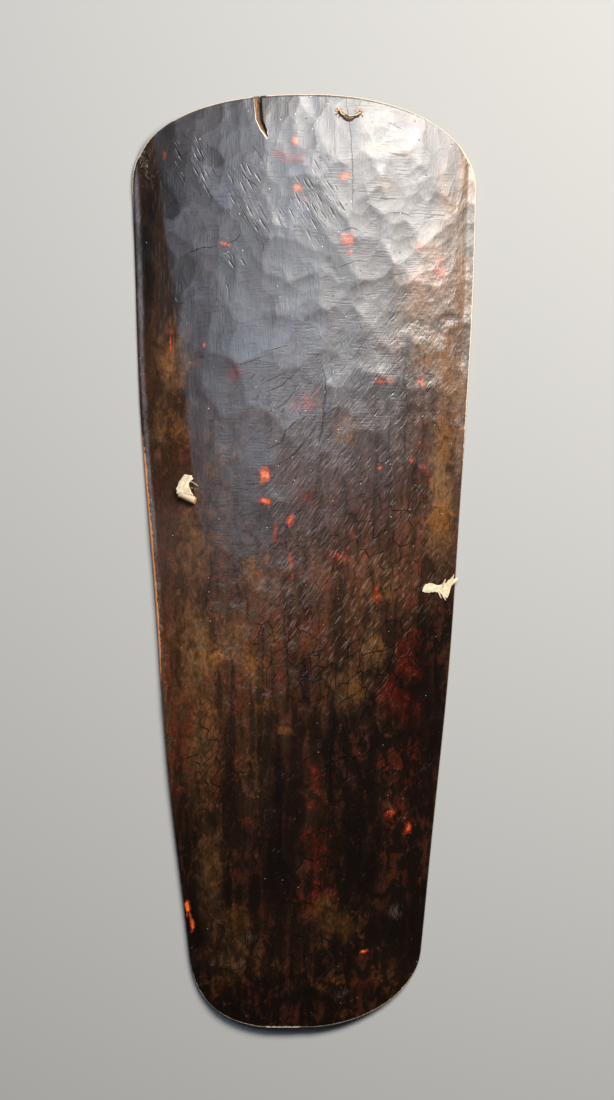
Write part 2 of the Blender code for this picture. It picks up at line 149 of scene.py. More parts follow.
# Adze cuts seen one by one on the upper half: middle x and y, turn of the stroke in degrees, half
# width, half length, depth below the cuts round it, and its lean across and along in degrees.
ADZE_CUTS = (
    (-0.133, 0.668, -4, 0.012, 0.026, 0.0006, 3.0, 0.0),
    (-0.112, 0.640, 6, 0.034, 0.024, 0.0010, 0.0, 1.5),
    (-0.110, 0.672, 4, 0.011, 0.018, 0.0008, -3.0, 0.0),
    (-0.088, 0.670, -4, 0.013, 0.019, 0.0004, 2.0, 0.5),
    (-0.052, 0.674, 0, 0.011, 0.022, 0.0006, -4.0, 0.0),
    (-0.026, 0.672, 3, 0.017, 0.026, 0.0007, 1.5, 0.0),
    (-0.031, 0.643, -6, 0.019, 0.012, 0.0008, 0.0, 3.0),
    (-0.037, 0.577, 0, 0.026, 0.020, 0.0013, -0.5, 2.0),
    (-0.020, 0.604, -80, 0.011, 0.030, 0.0008, 3.0, 0.0),
    (0.009, 0.650, 2, 0.015, 0.029, 0.0011, 1.0, 1.0),
    (0.035, 0.655, -2, 0.010, 0.018, 0.0005, -3.0, 1.0),
    (0.029, 0.607, 2, 0.018, 0.021, 0.0009, 2.5, 0.5),
    (0.072, 0.549, 0, 0.029, 0.028, 0.0011, 0.5, -1.0),
    (-0.077, 0.455, 3, 0.019, 0.041, 0.0013, 1.5, 0.0),
    (0.009, 0.467, -82, 0.022, 0.050, 0.0010, -1.5, 0.5),
    (0.067, 0.477, 0, 0.017, 0.019, 0.0009, 0.0, 2.5),
    (0.101, 0.489, 0, 0.015, 0.028, 0.0010, 2.0, 0.0),
    (0.129, 0.572, 2, 0.014, 0.028, 0.0012, -3.0, 1.5),
    (0.172, 0.562, 4, 0.017, 0.026, 0.0012, -1.0, 2.5),
    (0.146, 0.583, -10, 0.012, 0.012, 0.0008, 2.0, 1.0),
    (0.146, 0.503, 0, 0.013, 0.019, 0.0010, -1.0, 3.0),
    (0.072, 0.420, 2, 0.018, 0.034, 0.0011, 3.5, 0.0),
    (-0.160, 0.505, 4, 0.025, 0.034, 0.0010, -1.5, 0.0),
    (-0.155, 0.438, 0, 0.022, 0.030, 0.0008, 1.5, 0.5),
    (-0.123, 0.556, 24, 0.017, 0.034, 0.0009, 1.5, 0.0),
    (-0.112, 0.480, 0, 0.019, 0.028, 0.0007, 0.5, -1.5),
    (0.120, 0.625, -78, 0.014, 0.034, 0.0009, 1.0, 0.0),
    (0.196, 0.610, 8, 0.018, 0.030, 0.0008, -2.0, 0.0),
    (0.185, 0.500, -70, 0.014, 0.030, 0.0008, 2.5, 0.0),
    (0.040, 0.520, 32, 0.014, 0.040, 0.0010, 2.0, 0.0),
    (-0.020, 0.515, 28, 0.020, 0.036, 0.0009, -1.5, 0.0),
    (-0.072, 0.556, 28, 0.018, 0.034, 0.0009, 1.5, 0.0),
    (-0.020, 0.395, -84, 0.016, 0.036, 0.0008, 1.5, 0.0),
    (0.125, 0.395, -12, 0.022, 0.030, 0.0009, -2.0, 1.5),
    (-0.052, 0.330, -78, 0.018, 0.036, 0.0008, 2.0, 0.0),
    (-0.148, 0.370, 0, 0.020, 0.036, 0.0007, 1.0, 0.0),
    (0.080, 0.335, -34, 0.020, 0.034, 0.0008, -1.5, 0.0),
    (0.010, 0.330, -30, 0.022, 0.034, 0.0007, 1.5, 0.0))
CUT_SAG = 0.0005
EVEN_CUT_RADIUS = 0.36
SMALL_CUTS = 170
SMALL_CUT_SEED = 23
SMALL_CUT_FOOT = 0.05
SMALL_CUT_DEPTH = 0.0006
SMALL_CUT_FELT = 0.004
CUT_WARP = 0.0014
CUT_WARP_SEEDS = (41, 42)
CUT_SHADE_SEED = 31

# Marks in the wood, each a half width and the points of its line.
SLITS = (
    (0.0013, ((-0.156, 0.579), (-0.146, 0.560), (-0.137, 0.543))),
    (0.0014, ((-0.095, 0.585), (-0.086, 0.572), (-0.071, 0.562))),
    (0.0009, ((-0.142, 0.596), (-0.137, 0.587), (-0.131, 0.578))),
    (0.0009, ((-0.075, 0.621), (-0.067, 0.609), (-0.060, 0.600))),
    (0.0009, ((-0.067, 0.533), (-0.061, 0.521), (-0.054, 0.510))),
    (0.0009, ((-0.096, 0.532), (-0.088, 0.519), (-0.080, 0.504))),
    (0.0008, ((-0.063, 0.478), (-0.060, 0.465))),
    (0.0009, ((-0.117, 0.431), (-0.114, 0.412), (-0.111, 0.390))),
    (0.0007, ((-0.162, 0.602), (-0.151, 0.583))),
    (0.0009, ((-0.172, 0.466), (-0.151, 0.471), (-0.131, 0.472))),
    (0.0009, ((-0.117, 0.476), (-0.106, 0.480), (-0.097, 0.485), (-0.095, 0.494))),
    (0.0009, ((0.113, 0.544), (0.126, 0.543), (0.139, 0.545))),
    (0.0010, ((0.134, 0.523), (0.148, 0.523), (0.157, 0.519))),
    (0.0007, ((0.126, 0.658), (0.135, 0.655), (0.145, 0.649))),
    (0.0009, ((0.128, 0.613), (0.141, 0.609), (0.157, 0.610))),
    (0.0009, ((0.185, 0.516), (0.197, 0.523), (0.210, 0.522))),
    (0.0007, ((0.056, 0.495), (0.069, 0.499), (0.082, 0.496))),
    (0.0009, ((0.132, 0.431), (0.141, 0.430), (0.152, 0.434))),
    (0.0008, ((0.052, 0.441), (0.069, 0.447), (0.085, 0.453))),
    (0.0008, ((-0.098, 0.294), (-0.078, 0.301), (-0.056, 0.308))),
    (0.0007, ((-0.063, 0.266), (-0.048, 0.274), (-0.029, 0.282))),
    (0.0009, ((-0.057, 0.254), (-0.039, 0.260), (-0.016, 0.279))),
    (0.0009, ((-0.055, 0.224), (-0.031, 0.235), (-0.012, 0.258))),
    (0.0012, ((-0.052, 0.170), (-0.033, 0.180), (-0.027, 0.196), (-0.009, 0.214))),
    (0.0011, ((-0.034, 0.148), (-0.015, 0.161), (0.001, 0.180))),
    (0.0018, ((0.027, 0.296), (0.031, 0.272), (0.033, 0.254), (0.028, 0.228), (0.029, 0.209),
              (0.022, 0.176))),
    (0.0010, ((0.153, 0.302), (0.150, 0.273), (0.154, 0.243), (0.156, 0.224))),
    (0.0010, ((0.130, 0.223), (0.127, 0.191), (0.126, 0.159))),
    (0.0009, ((-0.014, 0.068), (0.009, 0.093), (0.022, 0.107))),
    (0.0009, ((0.151, 0.201), (0.153, 0.160))),
    (0.0008, ((-0.056, 0.316), (-0.027, 0.323))),
    (0.0018, ((0.002, -0.141), (0.008, -0.138), (0.015, -0.135), (0.022, -0.132), (0.033, -0.132))),
    (0.0009, ((0.009, -0.141), (0.010, -0.152), (0.011, -0.164))),
    (0.0010, ((0.047, -0.149), (0.047, -0.164), (0.046, -0.177))),
    (0.0011, ((0.087, -0.124), (0.082, -0.134), (0.083, -0.150), (0.086, -0.167))),
    (0.0014, ((0.137, -0.122), (0.132, -0.142), (0.126, -0.160), (0.112, -0.172))),
    (0.0012, ((0.097, -0.212), (0.087, -0.231), (0.078, -0.248))),
    (0.0010, ((0.070, -0.248), (0.067, -0.266))),
    (0.0010, ((0.146, -0.231), (0.137, -0.244), (0.128, -0.259))),
    (0.0016, ((0.011, -0.183), (0.019, -0.178), (0.030, -0.173))),
    (0.0009, ((0.045, -0.164), (0.037, -0.191), (0.034, -0.215))),
    (0.0008, ((0.001, -0.191), (0.002, -0.215))),
    (0.0016, ((0.048, -0.284), (0.039, -0.302), (0.039, -0.333))),
    (0.0011, ((0.132, -0.336), (0.120, -0.346), (0.108, -0.356))),
    (0.0010, ((0.081, -0.195), (0.061, -0.204), (0.049, -0.215))),
    (0.0011, ((0.152, -0.159), (0.138, -0.176), (0.129, -0.206))),
    (0.0009, ((-0.054, -0.116), (-0.058, -0.138), (-0.046, -0.143), (-0.057, -0.164),
              (-0.057, -0.191))),
    (0.0011, ((-0.181, -0.296), (-0.169, -0.293), (-0.158, -0.287))),
    (0.0009, ((-0.054, -0.239), (-0.063, -0.251), (-0.067, -0.281))),
    (0.0010, ((0.005, -0.284), (0.000, -0.296), (0.021, -0.282))),
    (0.0009, ((0.064, -0.032), (0.057, -0.058))),
    (0.0008, ((0.150, 0.060), (0.172, 0.092))),
    (0.0008, ((0.095, 0.020), (0.112, 0.052))),
    (0.0007, ((0.040, 0.120), (0.052, 0.148))))
HAIRLINE = ((0.0632, 0.6985), (0.0644, 0.6790), (0.0666, 0.6587), (0.0707, 0.6332),
            (0.0726, 0.5930), (0.0733, 0.5230))
HAIRLINE_HALF_WIDTH = 0.0006
MARK_REACH = 0.006
MARK_WANDER = 0.0009
MARK_WANDER_SEEDS = (61, 62)
SLIT_SHEETS = 3
SCRAPE = ((-0.046, 0.613), (-0.018, 0.606), (0.008, 0.597))
SCRAPE_HALF_WIDTH = 0.0062
PATCH_SEEDS = (77, 78)
PAINTED_SHADE_SEED = 52

# Patches of colour and wear, some partly painted light as noted: middle x and y, half width, half
# length and strength.
EMBER_SPOTS = (
    (-0.013, 0.627, 0.006, 0.006, 1.0), (-0.009, 0.561, 0.007, 0.007, 1.1),
    (0.061, 0.576, 0.012, 0.004, 0.9), (-0.118, 0.477, 0.008, 0.004, 0.6),
    (-0.148, 0.323, 0.004, 0.005, 0.6), (0.066, 0.484, 0.012, 0.011, 0.55),
    (0.069, 0.463, 0.008, 0.004, 0.7), (0.174, 0.479, 0.008, 0.012, 0.5),
    (-0.058, 0.131, 0.009, 0.013, 1.1), (-0.058, 0.091, 0.010, 0.007, 1.1),
    (-0.021, 0.063, 0.006, 0.013, 0.72), (-0.042, 0.049, 0.006, 0.013, 0.45),
    (-0.019, 0.007, 0.005, 0.011, 0.60), (-0.018, -0.016, 0.003, 0.010, 0.45),
    (0.110, -0.045, 0.005, 0.014, 0.50), (0.176, 0.272, 0.006, 0.005, 0.9),
    (0.114, 0.143, 0.004, 0.004, 1.0), (0.120, 0.272, 0.020, 0.004, 0.45),
    (0.090, -0.585, 0.008, 0.004, 0.75), (-0.174, -0.522, 0.004, 0.010, 1.0),
    (-0.171, -0.545, 0.003, 0.012, 1.0), (0.129, -0.375, 0.013, 0.008, 0.40),
    (0.155, -0.403, 0.006, 0.008, 0.55), (0.160, 0.155, 0.006, 0.010, 0.5),
    (-0.200, 0.330, 0.004, 0.018, 0.6), (0.000, 0.545, 0.006, 0.010, 0.4),
    (0.062, 0.007, 0.020, 0.008, 0.32), (0.205, 0.440, 0.014, 0.020, 0.45),
    (-0.212, 0.612, 0.005, 0.012, 0.36))
OCHRE_PATCHES = (
    (0.020, -0.518, 0.026, 0.020, 1.0), (-0.033, -0.248, 0.013, 0.009, 1.2),
    (0.129, -0.372, 0.014, 0.010, 0.9), (-0.133, -0.139, 0.024, 0.030, 0.7),
    (-0.081, -0.158, 0.022, 0.026, 0.8), (-0.149, -0.229, 0.030, 0.050, 0.5),
    (-0.146, -0.340, 0.026, 0.060, 0.5), (-0.138, -0.463, 0.018, 0.060, 0.75),
    (0.069, -0.191, 0.024, 0.028, 0.9), (0.111, -0.124, 0.018, 0.018, 0.8),
    (0.054, -0.544, 0.036, 0.026, 1.1), (-0.081, -0.311, 0.014, 0.040, 0.5),
    (-0.119, -0.636, 0.034, 0.028, 0.9), (0.129, -0.615, 0.030, 0.044, 0.9),
    (-0.043, -0.116, 0.020, 0.024, 0.5), (-0.190, 0.199, 0.016, 0.030, 0.6),
    (-0.202, 0.004, 0.012, 0.050, 0.4), (-0.085, -0.010, 0.018, 0.030, 0.6),
    (0.061, 0.198, 0.026, 0.034, 0.5), (0.205, 0.064, 0.018, 0.030, 0.8),
    (0.215, 0.185, 0.016, 0.060, 0.7), (0.214, 0.330, 0.016, 0.080, 0.6),
    (0.050, -0.634, 0.036, 0.022, 0.9), (-0.050, -0.600, 0.030, 0.040, 0.4),
    (0.114, -0.045, 0.030, 0.016, 0.6), (-0.205, 0.290, 0.014, 0.050, 0.5),
    (-0.110, 0.080, 0.020, 0.040, 0.4), (0.195, -0.060, 0.010, 0.050, 0.5),
    (0.200, 0.430, 0.020, 0.060, 0.6), (-0.100, -0.540, 0.030, 0.030, 0.8),
    (-0.060, -0.215, 0.020, 0.014, 0.5))
# Tan and ochre patches along the right edge of the upper half are partly painted warm light on the
# edge that faces the lamp.
TAN_PATCHES = (
    (0.234, 0.450, 0.020, 0.150, 0.9), (0.236, 0.250, 0.018, 0.130, 0.8),
    (0.194, 0.470, 0.034, 0.050, 0.75), (0.172, 0.400, 0.036, 0.050, 0.8),
    (0.214, 0.560, 0.016, 0.060, 0.7), (0.244, 0.570, 0.016, 0.080, 1.0),
    (0.115, 0.560, 0.020, 0.008, 0.6), (0.125, 0.618, 0.040, 0.008, 0.7),
    (0.185, 0.330, 0.030, 0.050, 0.7), (-0.165, 0.020, 0.038, 0.110, 0.45),
    (-0.160, -0.130, 0.036, 0.090, 0.65), (-0.152, -0.280, 0.030, 0.120, 0.50),
    (-0.142, -0.480, 0.026, 0.110, 0.80), (-0.100, -0.110, 0.040, 0.060, 0.45),
    (-0.060, -0.030, 0.050, 0.060, 0.35), (-0.085, -0.300, 0.020, 0.070, 0.45),
    (0.060, -0.190, 0.034, 0.040, 0.80), (0.105, -0.130, 0.030, 0.040, 0.70),
    (0.110, -0.020, 0.060, 0.050, 0.45), (0.206, 0.100, 0.020, 0.120, 0.80),
    (0.218, 0.300, 0.020, 0.110, 0.85), (0.236, 0.420, 0.014, 0.100, 0.9),
    (0.200, 0.430, 0.026, 0.070, 0.60), (-0.200, 0.300, 0.030, 0.060, 0.60),
    (-0.215, 0.200, 0.018, 0.060, 0.50), (-0.120, 0.160, 0.040, 0.060, 0.30),
    (0.120, -0.240, 0.040, 0.040, 0.45), (-0.110, -0.590, 0.060, 0.040, 0.55),
    (0.040, -0.545, 0.060, 0.040, 0.6), (0.140, -0.600, 0.030, 0.040, 0.70),
    (-0.180, -0.600, 0.014, 0.050, 0.50), (0.000, -0.640, 0.050, 0.024, 0.45))
RED_PATCHES = (
    (0.170, -0.230, 0.030, 0.060, 0.6), (0.130, -0.400, 0.050, 0.080, 0.35),
    (0.165, -0.147, 0.032, 0.036, 0.8), (0.160, -0.300, 0.036, 0.080, 0.38),
    (0.019, -0.425, 0.034, 0.110, 0.42), (0.114, -0.296, 0.034, 0.060, 0.36),
    (0.144, -0.205, 0.040, 0.040, 0.8), (-0.096, 0.288, 0.018, 0.024, 0.5),
    (0.009, 0.243, 0.026, 0.034, 0.55), (0.002, 0.093, 0.020, 0.040, 0.35),
    (0.055, 0.010, 0.050, 0.030, 0.3), (0.016, -0.310, 0.026, 0.044, 0.42),
    (0.130, 0.330, 0.034, 0.024, 0.5), (0.185, 0.160, 0.020, 0.060, 0.4),
    (0.165, 0.420, 0.024, 0.040, 0.5), (0.022, -0.512, 0.034, 0.030, 0.8),
    (-0.185, -0.330, 0.010, 0.080, 0.15), (0.090, -0.640, 0.060, 0.024, 0.4),
    (-0.020, 0.604, 0.030, 0.008, 0.9), (-0.190, 0.500, 0.020, 0.060, 0.2),
    (-0.100, -0.640, 0.050, 0.020, 0.5), (0.160, -0.470, 0.030, 0.060, 0.32))
SOOT_PATCHES = (
    (0.000, -0.060, 0.060, 0.050, 0.45), (-0.043, -0.461, 0.026, 0.065, 1.0),
    (0.069, -0.416, 0.020, 0.075, 1.0), (0.039, -0.273, 0.010, 0.062, 1.1),
    (-0.036, -0.340, 0.016, 0.055, 0.8), (0.090, -0.470, 0.024, 0.050, 0.7),
    (0.190, -0.250, 0.016, 0.120, 0.9), (0.114, 0.318, 0.026, 0.034, 0.5),
    (0.075, 0.322, 0.018, 0.022, 0.8), (0.009, 0.093, 0.050, 0.030, 0.3),
    (0.160, -0.180, 0.030, 0.010, 0.8), (-0.235, 0.450, 0.020, 0.150, 0.7),
    (-0.205, 0.560, 0.014, 0.100, 0.5), (0.150, -0.560, 0.040, 0.070, 0.8),
    (-0.170, -0.560, 0.022, 0.080, 0.7), (0.020, -0.650, 0.120, 0.018, 0.6),
    (-0.010, -0.560, 0.026, 0.060, 0.5), (0.000, -0.180, 0.030, 0.060, 0.5),
    (-0.225, 0.250, 0.012, 0.110, 0.4), (0.115, -0.545, 0.018, 0.030, 0.6))
PALE_SCUFFS = (
    (0.136, -0.529, 0.016, 0.018, 0.7), (0.060, -0.648, 0.020, 0.012, 0.6),
    (-0.080, -0.563, 0.026, 0.016, 0.6), (-0.004, -0.455, 0.010, 0.006, 0.6),
    (-0.090, -0.345, 0.020, 0.010, 0.5), (-0.060, -0.390, 0.030, 0.030, 0.4),
    (-0.095, -0.600, 0.020, 0.014, 0.5), (0.180, -0.310, 0.012, 0.010, 0.5),
    (0.070, 0.240, 0.090, 0.090, 0.2))
NICK_PATCHES = (
    (-0.168, 0.600, 0.030, 0.045, 1.0), (-0.085, 0.560, 0.028, 0.050, 1.0),
    (0.022, 0.535, 0.034, 0.050, 1.2), (-0.025, 0.505, 0.018, 0.026, 0.9),
    (-0.060, 0.500, 0.020, 0.040, 0.8), (-0.105, 0.455, 0.018, 0.020, 0.7),
    (-0.190, 0.400, 0.020, 0.050, 0.5), (0.030, 0.590, 0.022, 0.020, 0.7))
SCORE_PATCHES = (
    (0.010, 0.230, 0.080, 0.090, 0.8), (0.070, 0.090, 0.110, 0.130, 1.0),
    (0.120, 0.230, 0.080, 0.100, 1.0), (0.150, 0.030, 0.060, 0.120, 1.0),
    (0.060, -0.080, 0.120, 0.080, 0.9), (0.150, 0.350, 0.070, 0.070, 0.7),
    (-0.020, 0.110, 0.060, 0.080, 0.7), (0.090, 0.330, 0.060, 0.040, 0.6),
    (0.110, -0.170, 0.050, 0.050, 0.5), (0.210, 0.250, 0.030, 0.090, 0.7),
    (-0.060, 0.260, 0.060, 0.060, 0.4), (0.000, -0.020, 0.080, 0.080, 0.6))
CRAZE_PATCHES = (
    (0.085, -0.160, 0.070, 0.065, 0.60), (0.140, -0.110, 0.050, 0.060, 0.55),
    (0.030, -0.170, 0.060, 0.070, 0.55), (0.120, 0.060, 0.090, 0.120, 0.38),
    (0.090, -0.300, 0.090, 0.080, 0.50), (-0.040, -0.120, 0.060, 0.080, 0.42),
    (0.040, -0.450, 0.120, 0.120, 0.40), (-0.130, -0.300, 0.050, 0.120, 0.40),
    (0.020, -0.600, 0.140, 0.060, 0.45), (0.000, 0.060, 0.060, 0.080, 0.30))
SHORT_CHECK_PATCHES = (
    (-0.030, 0.415, 0.030, 0.030, 1.0), (-0.118, 0.375, 0.014, 0.060, 0.9),
    (-0.205, 0.350, 0.026, 0.120, 1.0), (-0.185, 0.250, 0.020, 0.080, 0.7),
    (0.200, 0.330, 0.040, 0.120, 0.7), (-0.045, 0.385, 0.020, 0.020, 0.7),
    (-0.222, 0.580, 0.020, 0.080, 0.9), (-0.215, 0.450, 0.020, 0.060, 0.7),
    (-0.225, 0.050, 0.012, 0.140, 0.6), (0.195, 0.150, 0.030, 0.120, 0.6))


def smooth(value):
    """Eases 0 to 1, flat outside."""
    t = np.clip(value, 0.0, 1.0)
    return t * t * (3.0 - 2.0 * t)


def side_width(y, side):
    """Distance from the middle line to the hewn edge at y, for side +1 or -1."""
    sweep = MIDDLE_HALF_WIDTH + EDGE_SPREAD * y - EDGE_BOW * y * y
    right = RIGHT_WAVER * np.sin(RIGHT_WAVER_RATE * y + RIGHT_WAVER_START)
    left = LEFT_WAVER * np.sin(LEFT_WAVER_RATE * y + LEFT_WAVER_START)
    return sweep + np.where(np.asarray(side) > 0, right, left)


def cap_shape(end):
    """Height, right and left roundness, and lean of the top (+1) or foot (-1) end."""
    if end > 0:
        return TOP_HEIGHT, TOP_ROUNDNESS_RIGHT, TOP_ROUNDNESS_LEFT, TOP_LEAN
    return FOOT_HEIGHT, FOOT_ROUNDNESS_RIGHT, FOOT_ROUNDNESS_LEFT, FOOT_LEAN


def on_disc(across, along):
    """A place of a square end drawn to a disc of radius 1, and its distance from the middle."""
    disc_x = across * np.sqrt(1.0 - along ** 2 / 2.0)
    disc_y = along * np.sqrt(1.0 - across ** 2 / 2.0)
    return disc_x, disc_y, np.maximum(np.hypot(disc_x, disc_y), 1e-9)


def cap_plan(across, along, end):
    """Places in an end: across runs -1 to 1, along runs 0 at the trunk to 1 at the tip."""
    height, right_power, left_power, lean = cap_shape(end)
    disc_x, disc_y, reach = on_disc(across, along)
    power = np.where(disc_x >= 0.0, right_power, left_power)
    cosine = np.abs(disc_x) / reach
    sine = np.abs(disc_y) / reach
    stretch = np.maximum(cosine ** power + sine ** power, 1e-9) ** (-1.0 / power)
    disc_x = disc_x * stretch
    disc_y = disc_y * stretch
    side = np.where(disc_x >= 0.0, 1.0, -1.0)
    y = end * (LENGTH / 2.0 - height + height * disc_y)
    y = y + lean * disc_x * side_width(y, side) * disc_y
    x = disc_x * side_width(y, side)
    if end < 0:
        y = np.maximum(y, FOOT_FLAT_DEPTH - LENGTH / 2.0)
    return x, y


def end_shares(row):
    """How far a row of the blank lies into the foot and into the top, 0 to 1."""
    foot = np.clip(1.0 - row / FOOT_ROWS, 0.0, 1.0)
    return foot, np.clip((row - FOOT_ROWS - TRUNK_ROWS) / TOP_ROWS, 0.0, 1.0)


def lay_out(across, row, shrink=0.0):
    """Places on the board of points of the blank, drawn in from the outline by a share."""
    side = across * (1.0 - shrink)
    foot, top = end_shares(row)
    share = np.clip((row - FOOT_ROWS) / TRUNK_ROWS, 0.0, 1.0)
    share = share * (1.0 + ROW_CROWDING * (1.0 - share))
    low = FOOT_HEIGHT - LENGTH / 2.0
    high = LENGTH / 2.0 - TOP_HEIGHT
    trunk_y = low + (high - low) * share
    foot_x, foot_y = cap_plan(side, foot * (1.0 - shrink), -1)
    top_x, top_y = cap_plan(side, top * (1.0 - shrink), 1)
    in_foot = row < FOOT_ROWS
    in_top = row > ROWS - TOP_ROWS
    x = np.where(in_foot, foot_x, np.where(in_top, top_x, side * side_width(trunk_y, side)))
    y = np.where(in_foot, foot_y, np.where(in_top, top_y, trunk_y))
    return x, y


def nearness_to_edge(x, y):
    """0 on the middle of the board and 1 at its rim."""
    across = np.abs(x) / side_width(y, np.sign(x))
    height = np.where(y > 0.0, TOP_HEIGHT, FOOT_HEIGHT)
    along = np.clip((np.abs(y) - LENGTH / 2.0 + height) / height, 0.0, 1.0)
    return np.clip((across ** 2.2 + along ** 2.2) ** (1.0 / 2.2), 0.0, 1.0)


def back_height(x, y):
    """Height of the back: zero on the long edges, arched between them."""
    across = np.abs(x) / side_width(y, np.sign(x))
    rise = (MIDDLE_HALF_WIDTH + EDGE_SPREAD * y - EDGE_BOW * y * y) ** 2 / (2.0 * ARCH_RADIUS)
    return rise * (1.0 - (np.minimum(across, LAND_START) / LAND_START) ** ARCH_POWER)


def bevel_reach(x, y):
    """How far a place lies beyond the line where the upper left edge is bevelled away."""
    line = BEVEL_LINE_X + BEVEL_LINE_SLOPE * (y - BEVEL_LINE_Y)
    return np.maximum(line - x, 0.0)


def plain_front_height(x, y):
    """Height of the front before the adze marks."""
    body = MID_THICKNESS - EDGE_THICKNESS
    thickness = EDGE_THICKNESS + body * (1.0 - nearness_to_edge(x, y) ** THINNING_POWER)
    fade = smooth((y - BEVEL_FADE_END) / BEVEL_FADE_LENGTH)
    return back_height(x, y) + thickness - BEVEL_FALL * bevel_reach(x, y) * fade


def height_at(surface, place):
    """Height of a surface function at one (x, y)."""
    return float(surface(np.array(place[0]), np.array(place[1])))


# ---- Small helpers for modelling ----

def pick_nothing():
    """Leaves no object selected."""
    for obj in list(bpy.context.selected_objects):
        obj.select_set(False)


def hold(obj):
    """Selects one object alone and makes it the active one."""
    pick_nothing()
    obj.select_set(True)
    bpy.context.view_layer.objects.active = obj


def named(name):
    """The object just added, under its own name."""
    obj = bpy.context.object
    obj.name = name
    obj.data.name = name
    return obj


def rows_of(items, name):
    """One x, y, z of each point or face of a mesh, as rows."""
    rows = np.empty(len(items) * 3, np.float32)
    items.foreach_get(name, rows)
    return rows.reshape(-1, 3)


def points_of(obj):
    """The mesh's points as rows of x, y, z."""
    return rows_of(obj.data.vertices, "co").astype(float)


def move_points(obj, points):
    """Puts every point of the mesh in its new place."""
    obj.data.vertices.foreach_set("co", np.asarray(points, np.float32).ravel())
    obj.data.update()


def apply_modifiers(obj):
    """Applies every modifier of the object, in order."""
    hold(obj)
    for name in [modifier.name for modifier in obj.modifiers]:
        bpy.ops.object.modifier_apply(modifier=name)


def join(pieces, name):
    """Joins mesh objects into the first of them."""
    hold(pieces[0])
    for piece in pieces:
        piece.select_set(True)
    bpy.ops.object.join()
    return named(name)


def new_piece(name, points, faces):
    """A mesh object from points and faces."""
    mesh = bpy.data.meshes.new(name)
    mesh.from_pydata([tuple(point) for point in points], [], faces)
    piece = bpy.data.objects.new(name, mesh)
    bpy.context.scene.collection.objects.link(piece)
    return piece


def open_mesh(action):
    """Enters edit mode with all of the active mesh selected, or none of it."""
    bpy.ops.object.mode_set(mode="EDIT")
    bpy.ops.mesh.select_all(action=action)


def close_mesh():
    """Leaves edit mode."""
    bpy.ops.object.mode_set(mode="OBJECT")


def turn_outwards(obj):
    """Makes every face of a closed mesh point outwards."""
    hold(obj)
    open_mesh("SELECT")
    bpy.ops.mesh.normals_make_consistent(inside=False)
    close_mesh()


def smooth_faces(obj, angle):
    """Smooth shading, broken where faces meet at more than the angle in degrees."""
    hold(obj)
    bpy.ops.object.shade_smooth_by_angle(angle=math.radians(angle))


def paint(obj, name, values):
    """Stores one value for each point, which a finish reads by name."""
    layer = obj.data.attributes.new(name, "FLOAT", "POINT")
    layer.data.foreach_set("value", np.asarray(values, np.float32))


def cloud(x, y, size, seed, octaves=3):
    """Smooth random value from about -1 to 1, its lumps (across, along) metres in size."""
    rng = np.random.RandomState(seed)
    cells = 64
    total = np.zeros(np.shape(x))
    weight = 1.0
    for octave in range(octaves):
        table = rng.uniform(-1.0, 1.0, (cells, cells))
        u = x / size[0] * 2.0 ** octave + 31.7
        v = y / size[1] * 2.0 ** octave + 17.3
        column = np.floor(u).astype(int)
        row = np.floor(v).astype(int)
        right = smooth(u - column)
        up = smooth(v - row)
        near = table[row % cells, column % cells] * (1.0 - right)
        near = near + table[row % cells, (column + 1) % cells] * right
        far = table[(row + 1) % cells, column % cells] * (1.0 - right)
        far = far + table[(row + 1) % cells, (column + 1) % cells] * right
        total = total + weight * (near * (1.0 - up) + far * up)
        weight *= 0.5
    return total


# ---- Camera, lights and floor ----

CAMERA_PLACE = (0.0045, 0.0187, 3.6)
CAMERA_LENS = 77.87
SENSOR = 36.0

WARM_PANEL = ((1.34, 1.58, 2.80), (2.7, 0.90), 43.0, (1.0, 0.945, 0.875))
COOL_PANEL = ((-0.35, 1.02, 3.25), (2.1, 0.7), 8.5, (0.64, 0.81, 1.0))
MILD_PANEL = ((-0.95, 0.36, 4.40), (2.4, 0.8), 1.7, (0.84, 0.91, 1.0))
ROOM_COLOUR = (0.96, 0.97, 1.0)
ROOM_STRENGTH = 0.028
FLOOR_SIZE = 40.0
FLOOR_DROP = 0.0002
FLOOR_COLOUR = (0.26, 0.26, 0.256)


def set_camera():
    """The camera looks straight down on the board, its top end up."""
    camera = bpy.data.objects.new("camera", bpy.data.cameras.new("camera"))
    bpy.context.scene.collection.objects.link(camera)
    camera.data.sensor_width = SENSOR
    camera.data.lens = CAMERA_LENS
    camera.location = CAMERA_PLACE
    bpy.context.scene.camera = camera


def add_panel(name, place, size, radiance, colour, target):
    """A soft flat light of this radiance that faces the target."""
    light = bpy.data.lights.new(name, "AREA")
    light.shape = "RECTANGLE"
    light.size = size[0]
    light.size_y = size[1]
    light.energy = radiance * math.pi * size[0] * size[1]
    light.color = colour
    panel = bpy.data.objects.new(name, light)
    back = (Vector(place) - Vector(target)).normalized()
    right = (Vector((1.0, 0.0, 0.0)) - back * back.x).normalized()
    turn = Matrix((right, back.cross(right), back)).transposed().to_4x4()
    panel.matrix_world = Matrix.Translation(place) @ turn
    bpy.context.scene.collection.objects.link(panel)


def set_lights():
    """A warm panel beyond the top right end, two cool ones overhead, and a dim room."""
    add_panel("warm_panel", *WARM_PANEL, (0.1, 0.4, 0.0))
    add_panel("cool_panel", *COOL_PANEL, (0.0, 0.2, 0.0))
    add_panel("mild_panel", *MILD_PANEL, (0.0, 0.0, 0.0))
    world = bpy.data.worlds.new("room")
    world.use_nodes = True
    background = world.node_tree.nodes["Background"]
    background.inputs["Color"].default_value = (*ROOM_COLOUR, 1.0)
    background.inputs["Strength"].default_value = ROOM_STRENGTH
    bpy.context.scene.world = world
    bpy.context.scene.view_settings.view_transform = "Standard"


